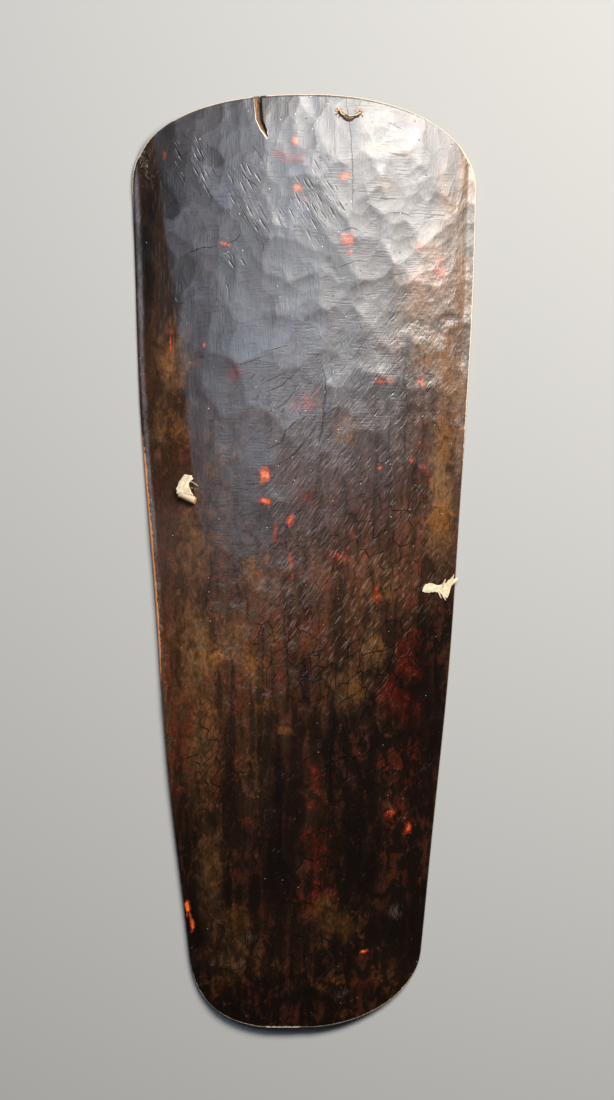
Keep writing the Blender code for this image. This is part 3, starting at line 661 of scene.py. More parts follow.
def lay_floor():
    """A plain pale floor under the edges that the board rests on."""
    pick_nothing()
    bpy.ops.mesh.primitive_plane_add(size=FLOOR_SIZE, location=(0.0, 0.0, -FLOOR_DROP))
    floor = named("floor")
    paper = Finish("pale_floor")
    paper.shader.inputs["Base Color"].default_value = (*FLOOR_COLOUR, 1.0)
    paper.shader.inputs["Roughness"].default_value = 0.9
    paper.shader.inputs["Specular IOR Level"].default_value = 0.2
    floor.data.materials.append(paper.material)


# ---- Finishes ----

class Finish:
    """The nodes of one finish, laid down one by one."""

    def __init__(self, name):
        self.material = bpy.data.materials.new(name)
        self.material.use_nodes = True
        self.nodes = self.material.node_tree.nodes
        self.links = self.material.node_tree.links
        self.shader = self.nodes["Principled BSDF"]
        self.source = None
        self.colour = None
        self.height = None

    def feed(self, socket, value):
        """Links an output to an input, or writes a plain value into it."""
        if isinstance(value, bpy.types.NodeSocket):
            self.links.new(value, socket)
        else:
            socket.default_value = value

    def read(self, name):
        """The value painted on the piece under this name."""
        node = self.nodes.new("ShaderNodeAttribute")
        node.attribute_name = name
        return node.outputs["Fac"]

    def cells(self, size, turn=0.0):
        """Space cut into cells of this size, turned about the upright axis by degrees."""
        if self.source is None:
            self.source = self.nodes.new("ShaderNodeTexCoord").outputs["Object"]
        node = self.nodes.new("ShaderNodeMapping")
        node.vector_type = "TEXTURE"
        node.inputs["Rotation"].default_value = (0.0, 0.0, math.radians(turn))
        node.inputs["Scale"].default_value = size
        self.links.new(self.source, node.inputs["Vector"])
        return node.outputs["Vector"]

    def follow(self, layer):
        """From here on, patterns follow the piece's own map instead of space."""
        node = self.nodes.new("ShaderNodeUVMap")
        node.uv_map = layer
        self.source = node.outputs["UV"]

    def noise(self, size, turn=0.0, detail=3.0, roughness=0.5, distortion=0.0):
        """Soft random value around 0.5."""
        node = self.nodes.new("ShaderNodeTexNoise")
        self.links.new(self.cells(size, turn), node.inputs["Vector"])
        node.inputs["Scale"].default_value = 1.0
        node.inputs["Detail"].default_value = detail
        node.inputs["Roughness"].default_value = roughness
        node.inputs["Distortion"].default_value = distortion
        return node.outputs[0]

    def scatter(self, size, turn):
        """A node that strews one point in each flat cell and knows how near each place lies."""
        node = self.nodes.new("ShaderNodeTexVoronoi")
        node.voronoi_dimensions = "2D"
        node.inputs["Scale"].default_value = 1.0
        self.links.new(self.cells(size, turn), node.inputs["Vector"])
        return node

    def marks(self, size, turn, keep, reach):
        """Short strokes, one in a share of the cells, each a slim oval along its cell."""
        node = self.scatter(size, turn)
        oval = self.step(node.outputs["Distance"], reach, reach * 0.35)
        parts = self.nodes.new("ShaderNodeSeparateColor")
        self.links.new(node.outputs["Color"], parts.inputs[0])
        return self.times(oval, self.step(parts.outputs[0], keep + 0.06, keep - 0.06))

    def bowls(self, size, turn):
        """Hollows side by side with crisp ridges between them, as a small blade leaves."""
        near = self.scatter(size, turn).outputs["Distance"]
        return self.times(near, near)

    def cracks(self, size, turn, reach):
        """A net of thin lines between stretched cells."""
        node = self.scatter(size, turn)
        node.feature = "DISTANCE_TO_EDGE"
        return self.step(node.outputs["Distance"], reach, reach * 0.3)

    def waver(self, size, amount):
        """From here on, patterns follow space bent a little, so that strokes aren't ruled."""
        noise = self.nodes.new("ShaderNodeTexNoise")
        noise.inputs["Scale"].default_value = 1.0
        noise.inputs["Detail"].default_value = 1.0
        self.links.new(self.cells(size), noise.inputs["Vector"])
        node = self.nodes.new("ShaderNodeVectorMath")
        node.operation = "MULTIPLY_ADD"
        self.links.new(noise.outputs["Color"], node.inputs[0])
        node.inputs[1].default_value = (amount, amount, amount)
        self.links.new(self.source, node.inputs[2])
        self.source = node.outputs[0]

    def step(self, value, low, high):
        """Eases from 0 at low to 1 at high."""
        node = self.nodes.new("ShaderNodeMapRange")
        node.interpolation_type = "SMOOTHSTEP"
        self.feed(node.inputs["Value"], value)
        self.feed(node.inputs["From Min"], low)
        self.feed(node.inputs["From Max"], high)
        return node.outputs["Result"]

    def work(self, operation, *values):
        """Two or three values worked into one."""
        node = self.nodes.new("ShaderNodeMath")
        node.operation = operation
        for socket, value in zip(node.inputs, values):
            self.feed(socket, value)
        return node.outputs["Value"]

    def times(self, first, second):
        """The product of two values."""
        return self.work("MULTIPLY", first, second)

    def rest(self, value):
        """What a value leaves of 1."""
        return self.work("SUBTRACT", 1.0, value)

    def plus(self, first, second, share=1.0):
        """The first value and a share of the second."""
        return self.work("MULTIPLY_ADD", second, share, first)

    def most(self, first, *others):
        """The greatest of some values."""
        for other in others:
            first = self.work("MAXIMUM", first, other)
        return first

    def ragged(self, patch, noise, share=0.9, low=0.42, high=0.58):
        """A soft patch given a torn edge by noise."""
        centred = self.plus(patch, noise, share)
        return self.step(centred, low + share / 2.0, high + share / 2.0)

    def blend(self, amount, under, over):
        """The colour over laid on the colour under, by an amount."""
        node = self.nodes.new("ShaderNodeMix")
        node.data_type = "RGBA"
        self.feed(node.inputs["Factor"], amount)
        self.feed(node.inputs[6], under)
        self.feed(node.inputs[7], over)
        return node.outputs[2]

    def coat(self, amount, over, share=None):
        """Lays a colour on the finish's own, by an amount or by a share of it."""
        if share is not None:
            amount = self.times(amount, share)
        self.colour = self.blend(amount, self.colour, over)

    def raise_by(self, value, metres):
        """Adds a value to the finish's relief, at a height in metres."""
        self.height = self.plus(self.height, value, metres)

    def marked_line(self, name):
        """1 in the middle of a line that is painted as an offset and a half width, 0 beside it."""
        offset = self.work("ABSOLUTE", self.read(name + "_offset"))
        reach = self.plus(0.00002, self.read(name + "_reach"))
        return self.step(self.work("DIVIDE", offset, reach), 1.2, 0.5)

    def emboss(self, height, depth, under=None):
        """Bump relief of a depth in metres, laid on the relief under it."""
        node = self.nodes.new("ShaderNodeBump")
        node.inputs["Strength"].default_value = 1.0
        node.inputs["Distance"].default_value = depth
        self.feed(node.inputs["Height"], height)
        if under is not None:
            self.links.new(under, node.inputs["Normal"])
        return node.outputs["Normal"]

    def finish(self, roughness, normal):
        """Feeds the shader and returns the material."""
        self.feed(self.shader.inputs["Base Color"], self.colour)
        self.feed(self.shader.inputs["Roughness"], roughness)
        self.links.new(normal, self.shader.inputs["Normal"])
        return self.material


def tone(red, green, blue):
    """A colour from its 0 to 255 screen values."""
    screen = np.array((red, green, blue)) / 255.0
    light = np.where(screen <= 0.04045, screen / 12.92, ((screen + 0.055) / 1.055) ** 2.4)
    return (*light.tolist(), 1.0)


UMBER = tone(48, 28, 17)
WARM_UMBER = tone(76, 48, 28)
GREY_BLOOM_AND_SHEEN = tone(51, 52, 58)
STREAK_AND_SHADE_BROWN = tone(26, 15, 9)
LAMPBLACK = tone(6, 4, 3)
SHADE_BROWN = tone(11, 5, 3)
OXBLOOD = tone(112, 26, 12)
PLUM = tone(60, 38, 35)
RUST_BROWN = tone(90, 40, 22)
DRY_TAN = tone(104, 76, 50)
FACET_HIGHLIGHT_GREY = tone(86, 88, 100)
OLIVE_OCHRE = tone(106, 67, 32)
STRAW_OCHRE = tone(150, 99, 46)
TAN_BROWN = tone(108, 77, 50)
EMBER = tone(206, 98, 34)
EMBER_HALO = tone(124, 40, 18)
FRESH_WOOD = tone(158, 116, 70)
WORN_ORANGE = tone(158, 84, 38)
SPLIT_TAN = tone(66, 38, 20)
SPLIT_STRAW = tone(120, 84, 48)
SPLIT_SHADOW = tone(20, 11, 7)
DUST_AND_HIGHLIGHT = tone(150, 138, 124)
RUBBED_PALE_AND_HIGHLIGHT = tone(188, 174, 152)
PITH_WHITE = tone(230, 220, 204)
BACK_UMBER = tone(84, 60, 42)
BAST_CREAM = tone(184, 178, 160)
BAST_STRAW = tone(172, 150, 106)
BAST_TAN = tone(138, 102, 60)
BAST_RUST_AND_SHADE = tone(160, 104, 54)
BAST_SOIL = tone(52, 34, 22)
FIBRE_BROWN = tone(66, 40, 24)
FIBRE_BLACK = tone(30, 19, 13)
FIBRE_TAN_AND_HIGHLIGHT = tone(206, 170, 120)


def smoked_wood():
    """Wood dark with smoke and handling: polished above, crusted and mottled below, with painted
    sheen, highlights and shade laid into its colour.
    """
    wood = Finish("smoked_wood_finish")
    wood.shader.inputs["Specular IOR Level"].default_value = 0.62
    wood.waver((0.018, 0.030, 0.018), 0.0060)
    crust = wood.rest(wood.read("polish"))
    bevel = wood.read("bevel")
    broad = wood.noise((0.09, 0.18, 0.09), detail=3.0)
    streak = wood.noise((0.020, 0.15, 0.020), detail=4.0, roughness=0.6, distortion=0.8)
    mottle = wood.noise((0.014, 0.022, 0.014), detail=5.0, roughness=0.65, distortion=0.6)
    crumb = wood.noise((0.0044, 0.0062, 0.0044), detail=5.0, roughness=0.7, distortion=0.5)
    fibre = wood.noise((0.0012, 0.011, 0.0012), detail=4.0, roughness=0.65)
    lump = wood.noise((0.015, 0.024, 0.015), -18.0, detail=2.0, roughness=0.45)
    grain = wood.noise((0.0040, 0.0075, 0.0040), -18.0, detail=1.0, roughness=0.45)
    grit = wood.plus(wood.times(mottle, 0.55), crumb, 0.45)

    scored = wood.step(wood.read("scores"), 0.12, 0.6)
    nicked = wood.step(wood.read("nicks"), 0.25, 0.6)
    nicks = wood.times(wood.marks((0.0070, 0.042, 1.0), 30.0, 0.50, 0.26), nicked)
    glints = wood.times(wood.marks((0.0048, 0.034, 1.0), 28.0, 0.42, 0.15), nicked)
    creases = wood.marks((0.011, 0.052, 1.0), -38.0, 0.46, 0.15)
    creases = wood.times(creases, wood.step(wood.read("scores"), 0.05, 0.5))
    scores = wood.marks((0.0050, 0.044, 1.0), -40.0, 0.42, 0.26)
    steep = wood.marks((0.0044, 0.034, 1.0), -28.0, 0.38, 0.26)
    scores = wood.times(wood.most(scores, steep), wood.times(scored, wood.step(grit, 0.36, 0.54)))
    sweep = wood.noise((0.0042, 0.038, 1.0), -36.0, detail=3.0, roughness=0.6, distortion=0.5)
    chatter = wood.noise((0.0034, 0.030, 1.0), 30.0, detail=3.0, roughness=0.6)
    checks = wood.marks((0.0028, 0.034, 1.0), 0.0, 0.45, 0.36)
    checks = wood.times(checks, wood.step(wood.read("checks"), 0.2, 0.7))
    side = wood.step(wood.noise((0.030, 0.042, 0.030), detail=1.0), 0.46, 0.54)
    upright = wood.noise((0.0021, 0.030, 0.0021), detail=3.0, roughness=0.6)
    level = wood.noise((0.034, 0.0022, 0.034), detail=3.0, roughness=0.6)
    brush = wood.times(side, upright)
    brush = wood.work("ADD", brush, wood.times(wood.rest(side), level))
    scratches = wood.marks((0.0018, 0.019, 1.0), -48.0, 0.20, 0.26)
    scratches = wood.times(scratches, wood.step(grit, 0.50, 0.60))
    scratches = wood.times(scratches, wood.times(crust, wood.read("front")))
    craze = wood.cracks((0.014, 0.036, 1.0), -32.0, 0.055)
    craze = wood.times(craze, wood.step(wood.plus(wood.read("craze"), mottle, 1.2), 0.70, 1.0))
    pits = wood.marks((0.016, 0.018, 1.0), 12.0, 0.06, 0.07)
    specks = wood.marks((0.024, 0.024, 1.0), 5.0, 0.10, 0.038)
    specks = wood.times(wood.times(specks, wood.plus(0.9, crust, -0.68)), wood.read("front"))

    bowls = wood.bowls((0.023, 0.036, 1.0), -8.0)
    chips = wood.bowls((0.012, 0.019, 1.0), -40.0)
    bowls = wood.plus(bowls, wood.times(chips, wood.step(broad, 0.44, 0.56)), 0.30)

    slit = wood.marked_line("slit_0")
    for number in range(1, SLIT_SHEETS):
        slit = wood.most(slit, wood.marked_line(f"slit_{number}"))
    engraved = wood.most(wood.times(slit, 0.9), pits, wood.times(creases, 0.65))
    dark_lines = wood.most(engraved, wood.times(craze, 0.85))

    wood.colour = UMBER
    wood.coat(wood.step(broad, 0.40, 0.60), WARM_UMBER)
    wood.coat(wood.step(mottle, 0.46, 0.62), PLUM, 0.50)
    rust = wood.times(wood.step(wood.plus(mottle, streak, 0.6), 0.77, 0.94), crust)
    wood.coat(rust, RUST_BROWN, 0.75)
    film = wood.times(wood.step(wood.plus(mottle, broad, 0.5), 0.74, 0.60), crust)
    wood.coat(film, DRY_TAN, 0.50)
    # Grey over the upper half: partly smoky bloom, partly painted sheen of the lights overhead.
    wood.coat(wood.read("grey_bloom_and_sheen"), GREY_BLOOM_AND_SHEEN, 0.82)
    # Dark streaks, and the left bevel strip painted darker: painted shade of the strip that faces
    # away from the light.
    streaks = wood.times(wood.step(streak, 0.56, 0.38), wood.plus(0.25, crust, 0.42))
    wood.coat(wood.most(streaks, wood.times(bevel, 0.6)), STREAK_AND_SHADE_BROWN)
    wood.coat(wood.read("back"), BACK_UMBER)
    red = wood.ragged(wood.read("red"), mottle, 1.2, 0.22, 0.62)
    red = wood.times(red, wood.plus(0.88, wood.read("grey_bloom_and_sheen"), -0.5))
    wood.coat(red, OXBLOOD)
    tan = wood.ragged(wood.read("tan"), mottle, 1.5, 0.12, 0.90)
    wood.coat(tan, TAN_BROWN, 0.85)
    ochre = wood.ragged(wood.read("ochre"), grit, 1.5, 0.20, 0.90)
    wood.coat(ochre, OLIVE_OCHRE, 0.80)
    flecks = wood.times(ochre, wood.step(crumb, 0.50, 0.66))
    wood.coat(flecks, STRAW_OCHRE, 0.30)
    soot = wood.ragged(wood.read("soot"), grit, 2.0, 0.26, 0.66)
    wood.coat(soot, LAMPBLACK, 0.88)
    # Painted shade towards the lower right, the edges and the foot, a little lighter where the wood
    # is rust brown.
    painted_shade = wood.times(wood.read("deep"), wood.plus(1.0, rust, -0.24))
    wood.coat(painted_shade, SHADE_BROWN)
    halo = wood.ragged(wood.read("ember"), grit, 1.5, 0.16, 0.46)
    wood.coat(halo, EMBER_HALO, 0.8)
    ember = wood.ragged(wood.read("ember"), grit, 2.2, 0.36, 0.95)
    wood.coat(ember, EMBER, 0.95)
    grime = wood.times(wood.step(crumb, 0.53, 0.37), wood.plus(0.10, crust, 0.28))
    wood.coat(grime, LAMPBLACK)
    clots = wood.times(wood.step(mottle, 0.50, 0.36), wood.plus(0.06, crust, 0.32))
    wood.coat(clots, LAMPBLACK)
    threads = wood.times(wood.step(fibre, 0.56, 0.40), wood.plus(0.06, crust, 0.32))
    wood.coat(threads, LAMPBLACK)
    # Painted shade and painted highlight of the cuts: some cuts darker, and in the upper polished
    # part some lighter, standing for their tilts to the light.
    facet_shading = wood.read("facet_shading")
    wood.coat(wood.step(facet_shading, 0.1, 1.0), LAMPBLACK, 0.46)
    facet_highlight = wood.times(wood.step(facet_shading, -0.2, -1.0), wood.times(wood.read("grey_bloom_and_sheen"), 0.34))
    wood.coat(facet_highlight, FACET_HIGHLIGHT_GREY)
    # Light edges of scores, checks, nicks and scratches: painted highlights, partly lighter worn
    # wood.
    stroke_highlights = wood.most(wood.times(scores, 0.17), wood.times(checks, 0.06))
    stroke_highlights = wood.most(stroke_highlights, wood.times(glints, 0.34), wood.times(scratches, 0.12))
    wood.coat(stroke_highlights, DUST_AND_HIGHLIGHT)
    gouge = wood.times(wood.times(nicked, wood.step(chatter, 0.44, 0.34)), 0.30)
    gouge = wood.most(gouge, wood.times(wood.times(scored, wood.step(sweep, 0.44, 0.33)), 0.5))
    gouge = wood.most(gouge, wood.times(nicks, 0.85))
    wood.coat(gouge, LAMPBLACK)
    strokes = wood.times(wood.step(brush, 0.48, 0.34), wood.times(wood.read("grey_bloom_and_sheen"), 0.45))
    wood.coat(strokes, LAMPBLACK)
    scuff = wood.ragged(wood.read("scuff"), fibre, 2.0, 0.40, 1.10)
    wood.coat(scuff, DUST_AND_HIGHLIGHT, 0.14)
    # Pale edges: partly worn wood, partly a painted highlight where the rounded edge catches the
    # light.
    rubbed_and_highlit = wood.ragged(wood.read("arris_wear_and_highlight"), crumb, 1.0, 0.22, 0.60)
    wood.coat(rubbed_and_highlit, RUBBED_PALE_AND_HIGHLIGHT, 0.85)
    worn = wood.ragged(wood.read("raw"), crumb, 1.2, 0.40, 0.62)
    bare = wood.blend(wood.step(fibre, 0.42, 0.58), WORN_ORANGE, FRESH_WOOD)
    wood.coat(worn, bare)
    split = wood.blend(wood.step(fibre, 0.42, 0.56), SPLIT_TAN, SPLIT_STRAW)
    # The right part of the split's walls is painted dark: a painted shadow.
    split = wood.blend(wood.step(wood.read("in_split"), 0.40, 0.58), split, SPLIT_SHADOW)
    wood.coat(wood.read("wall"), split)
    rim = wood.marked_line("rim")
    wood.coat(rim, PITH_WHITE, 0.85)
    wood.coat(dark_lines, LAMPBLACK)
    wood.coat(specks, PITH_WHITE)

    sheen = wood.read("sheen")
    rough = wood.plus(0.13, sheen, 0.21)
    rough = wood.plus(rough, wood.times(sheen, facet_shading), 0.02)
    rough = wood.plus(rough, wood.step(streak, 0.40, 0.60), 0.02)
    rough = wood.plus(rough, wood.step(mottle, 0.35, 0.65), 0.02)
    rough = wood.plus(rough, wood.read("back"), 0.30)
    rough = wood.plus(rough, wood.most(worn, rubbed_and_highlit), 0.3)

    wood.height = wood.times(wood.times(lump, wood.plus(0.20, crust, 0.8)), 0.0009)
    fine = wood.plus(grain, crumb, 0.12)
    wood.raise_by(wood.times(fine, wood.plus(0.14, crust, 0.86)), 0.00034)
    wood.raise_by(wood.times(bowls, wood.plus(0.12, wood.read("hewn"), 0.88)), 0.0006)
    wood.raise_by(wood.times(nicked, chatter), 0.00036)
    wood.raise_by(wood.times(wood.times(scored, sweep), wood.plus(1.0, crust, -0.85)), 0.00040)
    wood.raise_by(wood.times(brush, wood.plus(0.2, wood.read("grey_bloom_and_sheen"), 0.8)), 0.00024)
    wood.raise_by(wood.most(nicks, glints), -0.00040)
    wood.raise_by(scores, -0.00005)
    wood.raise_by(wood.most(checks, scratches), -0.00005)
    wood.raise_by(wood.times(engraved, wood.plus(1.0, crust, -0.97)), -0.00040)
    return wood.finish(rough, wood.emboss(wood.height, 1.0))


def pale_bast():
    """Inner bark, pale and dry, with long fibres, tan where it is rolled or handled, darker rust
    tan under and inside its roll as painted shade.
    """
    bast = Finish("pale_bast_finish")
    bast.follow("lay")
    fibres = bast.noise((0.0007, 0.014, 1.0), detail=4.0, roughness=0.6)
    blotch = bast.noise((0.006, 0.012, 1.0), detail=4.0)
    bast.colour = BAST_CREAM
    bast.coat(bast.step(blotch, 0.42, 0.66), BAST_STRAW)
    bast.coat(bast.step(fibres, 0.56, 0.40), BAST_TAN, 0.35)
    stain_and_shade = bast.ragged(bast.read("stain_and_shade"), blotch, 0.6, 0.25, 0.85)
    bast.coat(stain_and_shade, BAST_RUST_AND_SHADE, 0.85)
    soil = bast.ragged(bast.read("soil"), blotch, 0.6, 0.2, 0.8)
    bast.coat(soil, BAST_SOIL, 0.9)
    rough = bast.plus(0.66, fibres, 0.2)
    relief = bast.emboss(fibres, 0.0005)
    relief = bast.emboss(blotch, 0.0006, relief)
    return bast.finish(rough, relief)


def dark_fibre():
    """Vine fibre browned by smoke, every other strand painted pale tan as a painted highlight along
    the stitch, and most loose hairs pale.
    """
    fibre = Finish("dark_fibre_finish")
    fibre.follow("lay")
    threads = fibre.noise((0.0004, 0.008, 1.0), detail=4.0, roughness=0.6)
    blotch = fibre.noise((0.003, 0.006, 1.0), detail=3.0)
    fibre.colour = FIBRE_BROWN
    fibre.coat(fibre.step(blotch, 0.40, 0.64), FIBRE_BLACK)
    fibre.coat(fibre.read("pale"), FIBRE_TAN_AND_HIGHLIGHT)
    fibre.coat(fibre.step(threads, 0.56, 0.40), FIBRE_BLACK, 0.5)
    rough = fibre.plus(0.55, threads, 0.25)
    return fibre.finish(rough, fibre.emboss(threads, 0.0003))


# ---- The board ----


def even_cuts():
    """Adze cuts in staggered, uneven rows, as on the solid, as rows of ADZE_CUTS."""
    rng = np.random.RandomState(SCOOP_SEED)
    lean_rng = np.random.RandomState(SCOOP_SEED + 1)
    columns = int(round(0.60 / SCOOP_SPACING_X))
    rows = int(round((LENGTH + 0.1) / SCOOP_SPACING_Y))
    half_width = math.sqrt(2.0 * EVEN_CUT_RADIUS * CUT_SAG)
    half_length = half_width * SCOOP_SPACING_Y / SCOOP_SPACING_X
    cuts = []
    for row in range(rows):
        for column in range(columns):
            jitter = rng.uniform(-SCOOP_JITTER, SCOOP_JITTER, 2)
            x = (column + 0.5 * (row % 2) + jitter[0] - columns / 2.0) * SCOOP_SPACING_X
            y = (row + jitter[1] - rows / 2.0 + 0.5) * SCOOP_SPACING_Y
            depth = -rng.uniform(-SCOOP_LEVEL, SCOOP_LEVEL)
            turn = lean_rng.uniform(-14.0, 14.0)
            lean = lean_rng.uniform(-2.2, 2.2, 2)
            cuts.append((x, y, turn, half_width, half_length, depth, *lean))
    return cuts


def in_cut(cut, x, y):
    """A place as the stroke of a cut has it: across it and along it from its middle."""
    turn = math.radians(cut[2])
    across = (x - cut[0]) * math.cos(turn) + (y - cut[1]) * math.sin(turn)
    along = (y - cut[1]) * math.cos(turn) - (x - cut[0]) * math.sin(turn)
    return across, along


def inside_cut(cut, x, y, reach):
    """True where a place lies within a share of a cut's oval."""
    across, along = in_cut(cut, x, y)
    return (across / cut[3]) ** 2 + (along / cut[4]) ** 2 < reach ** 2


def all_cuts():
    """The cuts seen one by one, and the even ones wherever those leave room."""
    kept = []
    for cut in even_cuts():
        if not any(inside_cut(seen, cut[0], cut[1], 0.85) for seen in ADZE_CUTS):
            kept.append(cut)
    return kept + list(ADZE_CUTS)


def cut_floor(cut, x, y):
    """Height of one cut's floor against the uncut board, without end."""
    across, along = in_cut(cut, x, y)
    bowl = CUT_SAG * ((across / cut[3]) ** 2 + (along / cut[4]) ** 2)
    lean = across * math.radians(cut[6]) + along * math.radians(cut[7])
    return bowl + lean - cut[5]


def small_cuts():
    """Short light strokes scattered over the upper half, each with a lean of its own."""
    rng = np.random.RandomState(SMALL_CUT_SEED)
    cuts = []
    for number in range(SMALL_CUTS):
        x = rng.uniform(-0.26, 0.26)
        y = rng.uniform(SMALL_CUT_FOOT, LENGTH / 2.0)
        half_width = rng.uniform(0.0055, 0.012)
        half_length = half_width * rng.uniform(1.2, 2.4)
        turn = rng.uniform(-12.0, 12.0) + rng.choice((0.0, 30.0, -70.0))
        lean = rng.uniform(-5.0, 5.0, 2)
        cuts.append((x, y, turn, half_width, half_length, SMALL_CUT_DEPTH, *lean))
    return cuts


def deepest_cut():
    """How far below the uncut board the middle of a level cut lies."""
    return SCOOP_SPACING_X ** 2 / (2.0 * EVEN_CUT_RADIUS) * 0.5 + SCOOP_LEVEL


def hewn_depth(x, y):
    """Wood taken off by the adze, softer towards the foot, and a value of each cut's own for its
    painted light and shade.
    """
    warp_x = x + CUT_WARP * cloud(x, y, (0.035, 0.035), CUT_WARP_SEEDS[0], 2)
    warp_y = y + CUT_WARP * cloud(x, y, (0.035, 0.035), CUT_WARP_SEEDS[1], 2)
    rng = np.random.RandomState(CUT_SHADE_SEED)
    floor = np.full(x.shape, 1.0)
    shade = np.zeros(x.shape)
    for cut in all_cuts():
        level = cut_floor(cut, warp_x, warp_y)
        shade = np.where(level < floor, rng.uniform(-1.0, 1.0), shade)
        floor = np.minimum(floor, level)
    for cut in small_cuts():
        near = np.hypot(x - cut[0], y - cut[1]) < SMALL_CUT_FELT
        if near.any():
            level = floor[near].mean() + 0.5 * cut_floor(cut, warp_x, warp_y)
            shade = np.where(level < floor, rng.uniform(-1.0, 1.0), shade)
            floor = np.minimum(floor, level)
    depth = np.maximum(deepest_cut() - floor, 0.0)
    fade = smooth((y - SCOOP_FADE_FOOT) / (SCOOP_FADE_TOP - SCOOP_FADE_FOOT))
    share = SCOOP_SHARE_BELOW + (SCOOP_SHARE_ABOVE - SCOOP_SHARE_BELOW) * fade
    return depth * share, shade * fade


def hewn_front(x, y):
    """Height of the finished front, with soft unevenness on top of the adze cuts."""
    lumps = LUMP * cloud(x, y, (0.09, 0.14), LUMP_SEED, 2)
    lower = smooth((0.30 - y) / 0.45)
    lumps = lumps + lower * CRUST_LUMP * cloud(x, y, (0.011, 0.022), CRUST_LUMP_SEED, 3)
    return plain_front_height(x, y) - hewn_depth(x, y)[0] + lumps


def fluted_back(x, y):
    """Height of the back: long shallow flutes left by the adze, none where the board rests."""
    inside = smooth((1.0 - nearness_to_edge(x, y)) / 0.12)
    flutes = BACK_FLUTE * (1.0 + cloud(x, y, (0.030, 0.16), BACK_FLUTE_SEED, 2))
    return back_height(x, y) + np.maximum(flutes, 0.0) * inside


def saw_blank():
    """The blank: a fine front sheet, rings for the rim and a coarser back, in a square."""
    pick_nothing()
    bpy.ops.mesh.primitive_grid_add(x_subdivisions=COLUMNS, y_subdivisions=ROWS, size=2.0)
    front = named("blank_front")
    bpy.ops.object.mode_set(mode="EDIT")
    bpy.ops.mesh.select_mode(type="EDGE")
    bpy.ops.mesh.select_all(action="DESELECT")
    bpy.ops.mesh.select_non_manifold()
    for ring in range(RIM_RINGS):
        bpy.ops.mesh.extrude_region_move(TRANSFORM_OT_translate={"value": (0.0, 0.0, -1.0)})
    close_mesh()
    pick_nothing()
    bpy.ops.mesh.primitive_grid_add(x_subdivisions=COLUMNS // BACK_STEP,
                                    y_subdivisions=ROWS // BACK_STEP, size=2.0,
                                    location=(0.0, 0.0, -RIM_RINGS))
    back = named("blank_back")
    open_mesh("DESELECT")
    bpy.ops.mesh.select_non_manifold()
    bpy.ops.mesh.subdivide(number_cuts=BACK_STEP - 1)
    close_mesh()
    blank = join([front, back], "shield_board_hewn")
    open_mesh("SELECT")
    bpy.ops.mesh.remove_doubles(threshold=BLANK_MERGE)
    close_mesh()
    turn_outwards(blank)
    return blank


def rim_gap(across, row):
    """About how far points of the blank will lie inside the outline."""
    foot, top = end_shares(row)
    disc_x, disc_y, reach = on_disc(across, foot + top)
    height = np.where(top > 0.0, TOP_HEIGHT, FOOT_HEIGHT)
    span = np.hypot(disc_x / reach * MIDDLE_HALF_WIDTH, disc_y / reach * height)
    return (1.0 - np.minimum(reach, 1.0)) * span


def hew(blank):
    """Gives the blank the board's outline, its front, its rim and its back."""
    points = points_of(blank)
    across = np.clip(points[:, 0], -1.0, 1.0)
    row = np.clip((points[:, 1] + 1.0) / 2.0, 0.0, 1.0) * ROWS
    ring = np.rint(-points[:, 2]).astype(int)
    x, y = lay_out(across, row)
    inner_x, inner_y = lay_out(across, row, 0.01)
    way = np.stack([inner_x - x, inner_y - y], axis=1)
    way /= np.maximum(np.linalg.norm(way, axis=1), 1e-9)[:, None]
    near_rim = np.clip(1.0 - rim_gap(across, row) / RIM_BAND, 0.0, 1.0)
    draw_in = np.array([FRONT_ARRIS, FRONT_ARRIS * 0.3, 0.0, 0.0, BACK_ARRIS])[ring] * near_rim
    x = x + way[:, 0] * draw_in
    y = y + way[:, 1] * draw_in
    front = hewn_front(x, y)
    back = fluted_back(x, y)
    thickness = front - back
    drop = np.array([0.0, 0.3, 1.0, 0.0, 0.0])[ring] * np.minimum(FRONT_ARRIS, 0.4 * thickness)
    lift = np.array([0.0, 0.0, 0.0, 1.0, 0.0])[ring] * np.minimum(BACK_ARRIS, 0.3 * thickness)
    z = np.where(ring <= 2, front - drop, back + lift)
    move_points(blank, np.stack([x, y, z], axis=1))


def rod_cutter(name, place, radius):
    """An upright rod for a hole through the board."""
    pick_nothing()
    bpy.ops.mesh.primitive_cylinder_add(vertices=20, radius=radius, depth=ROD_LENGTH,
                                        location=(*place, ROD_MIDDLE))
    rod = named(name)
    bpy.ops.object.transform_apply(location=True, rotation=True, scale=True)
    return rod


def split_cutter():
    """The wedge that has split away: steep on the right, slanting on the left, and splintery."""
    rng = np.random.RandomState(SPLIT_SEED)
    rings = []
    for first, second in zip(SPLIT_STATIONS, SPLIT_STATIONS[1:]):
        for cut in range(SPLIT_CUTS_BETWEEN):
            share = cut / SPLIT_CUTS_BETWEEN
            x, y, width, deep = [a + (b - a) * share for a, b in zip(first, second)]
            rings.append(split_section(x, y, width, deep, rng))
    rings.append(split_section(*SPLIT_STATIONS[-1], rng))
    return loft("split_wedge", rings)


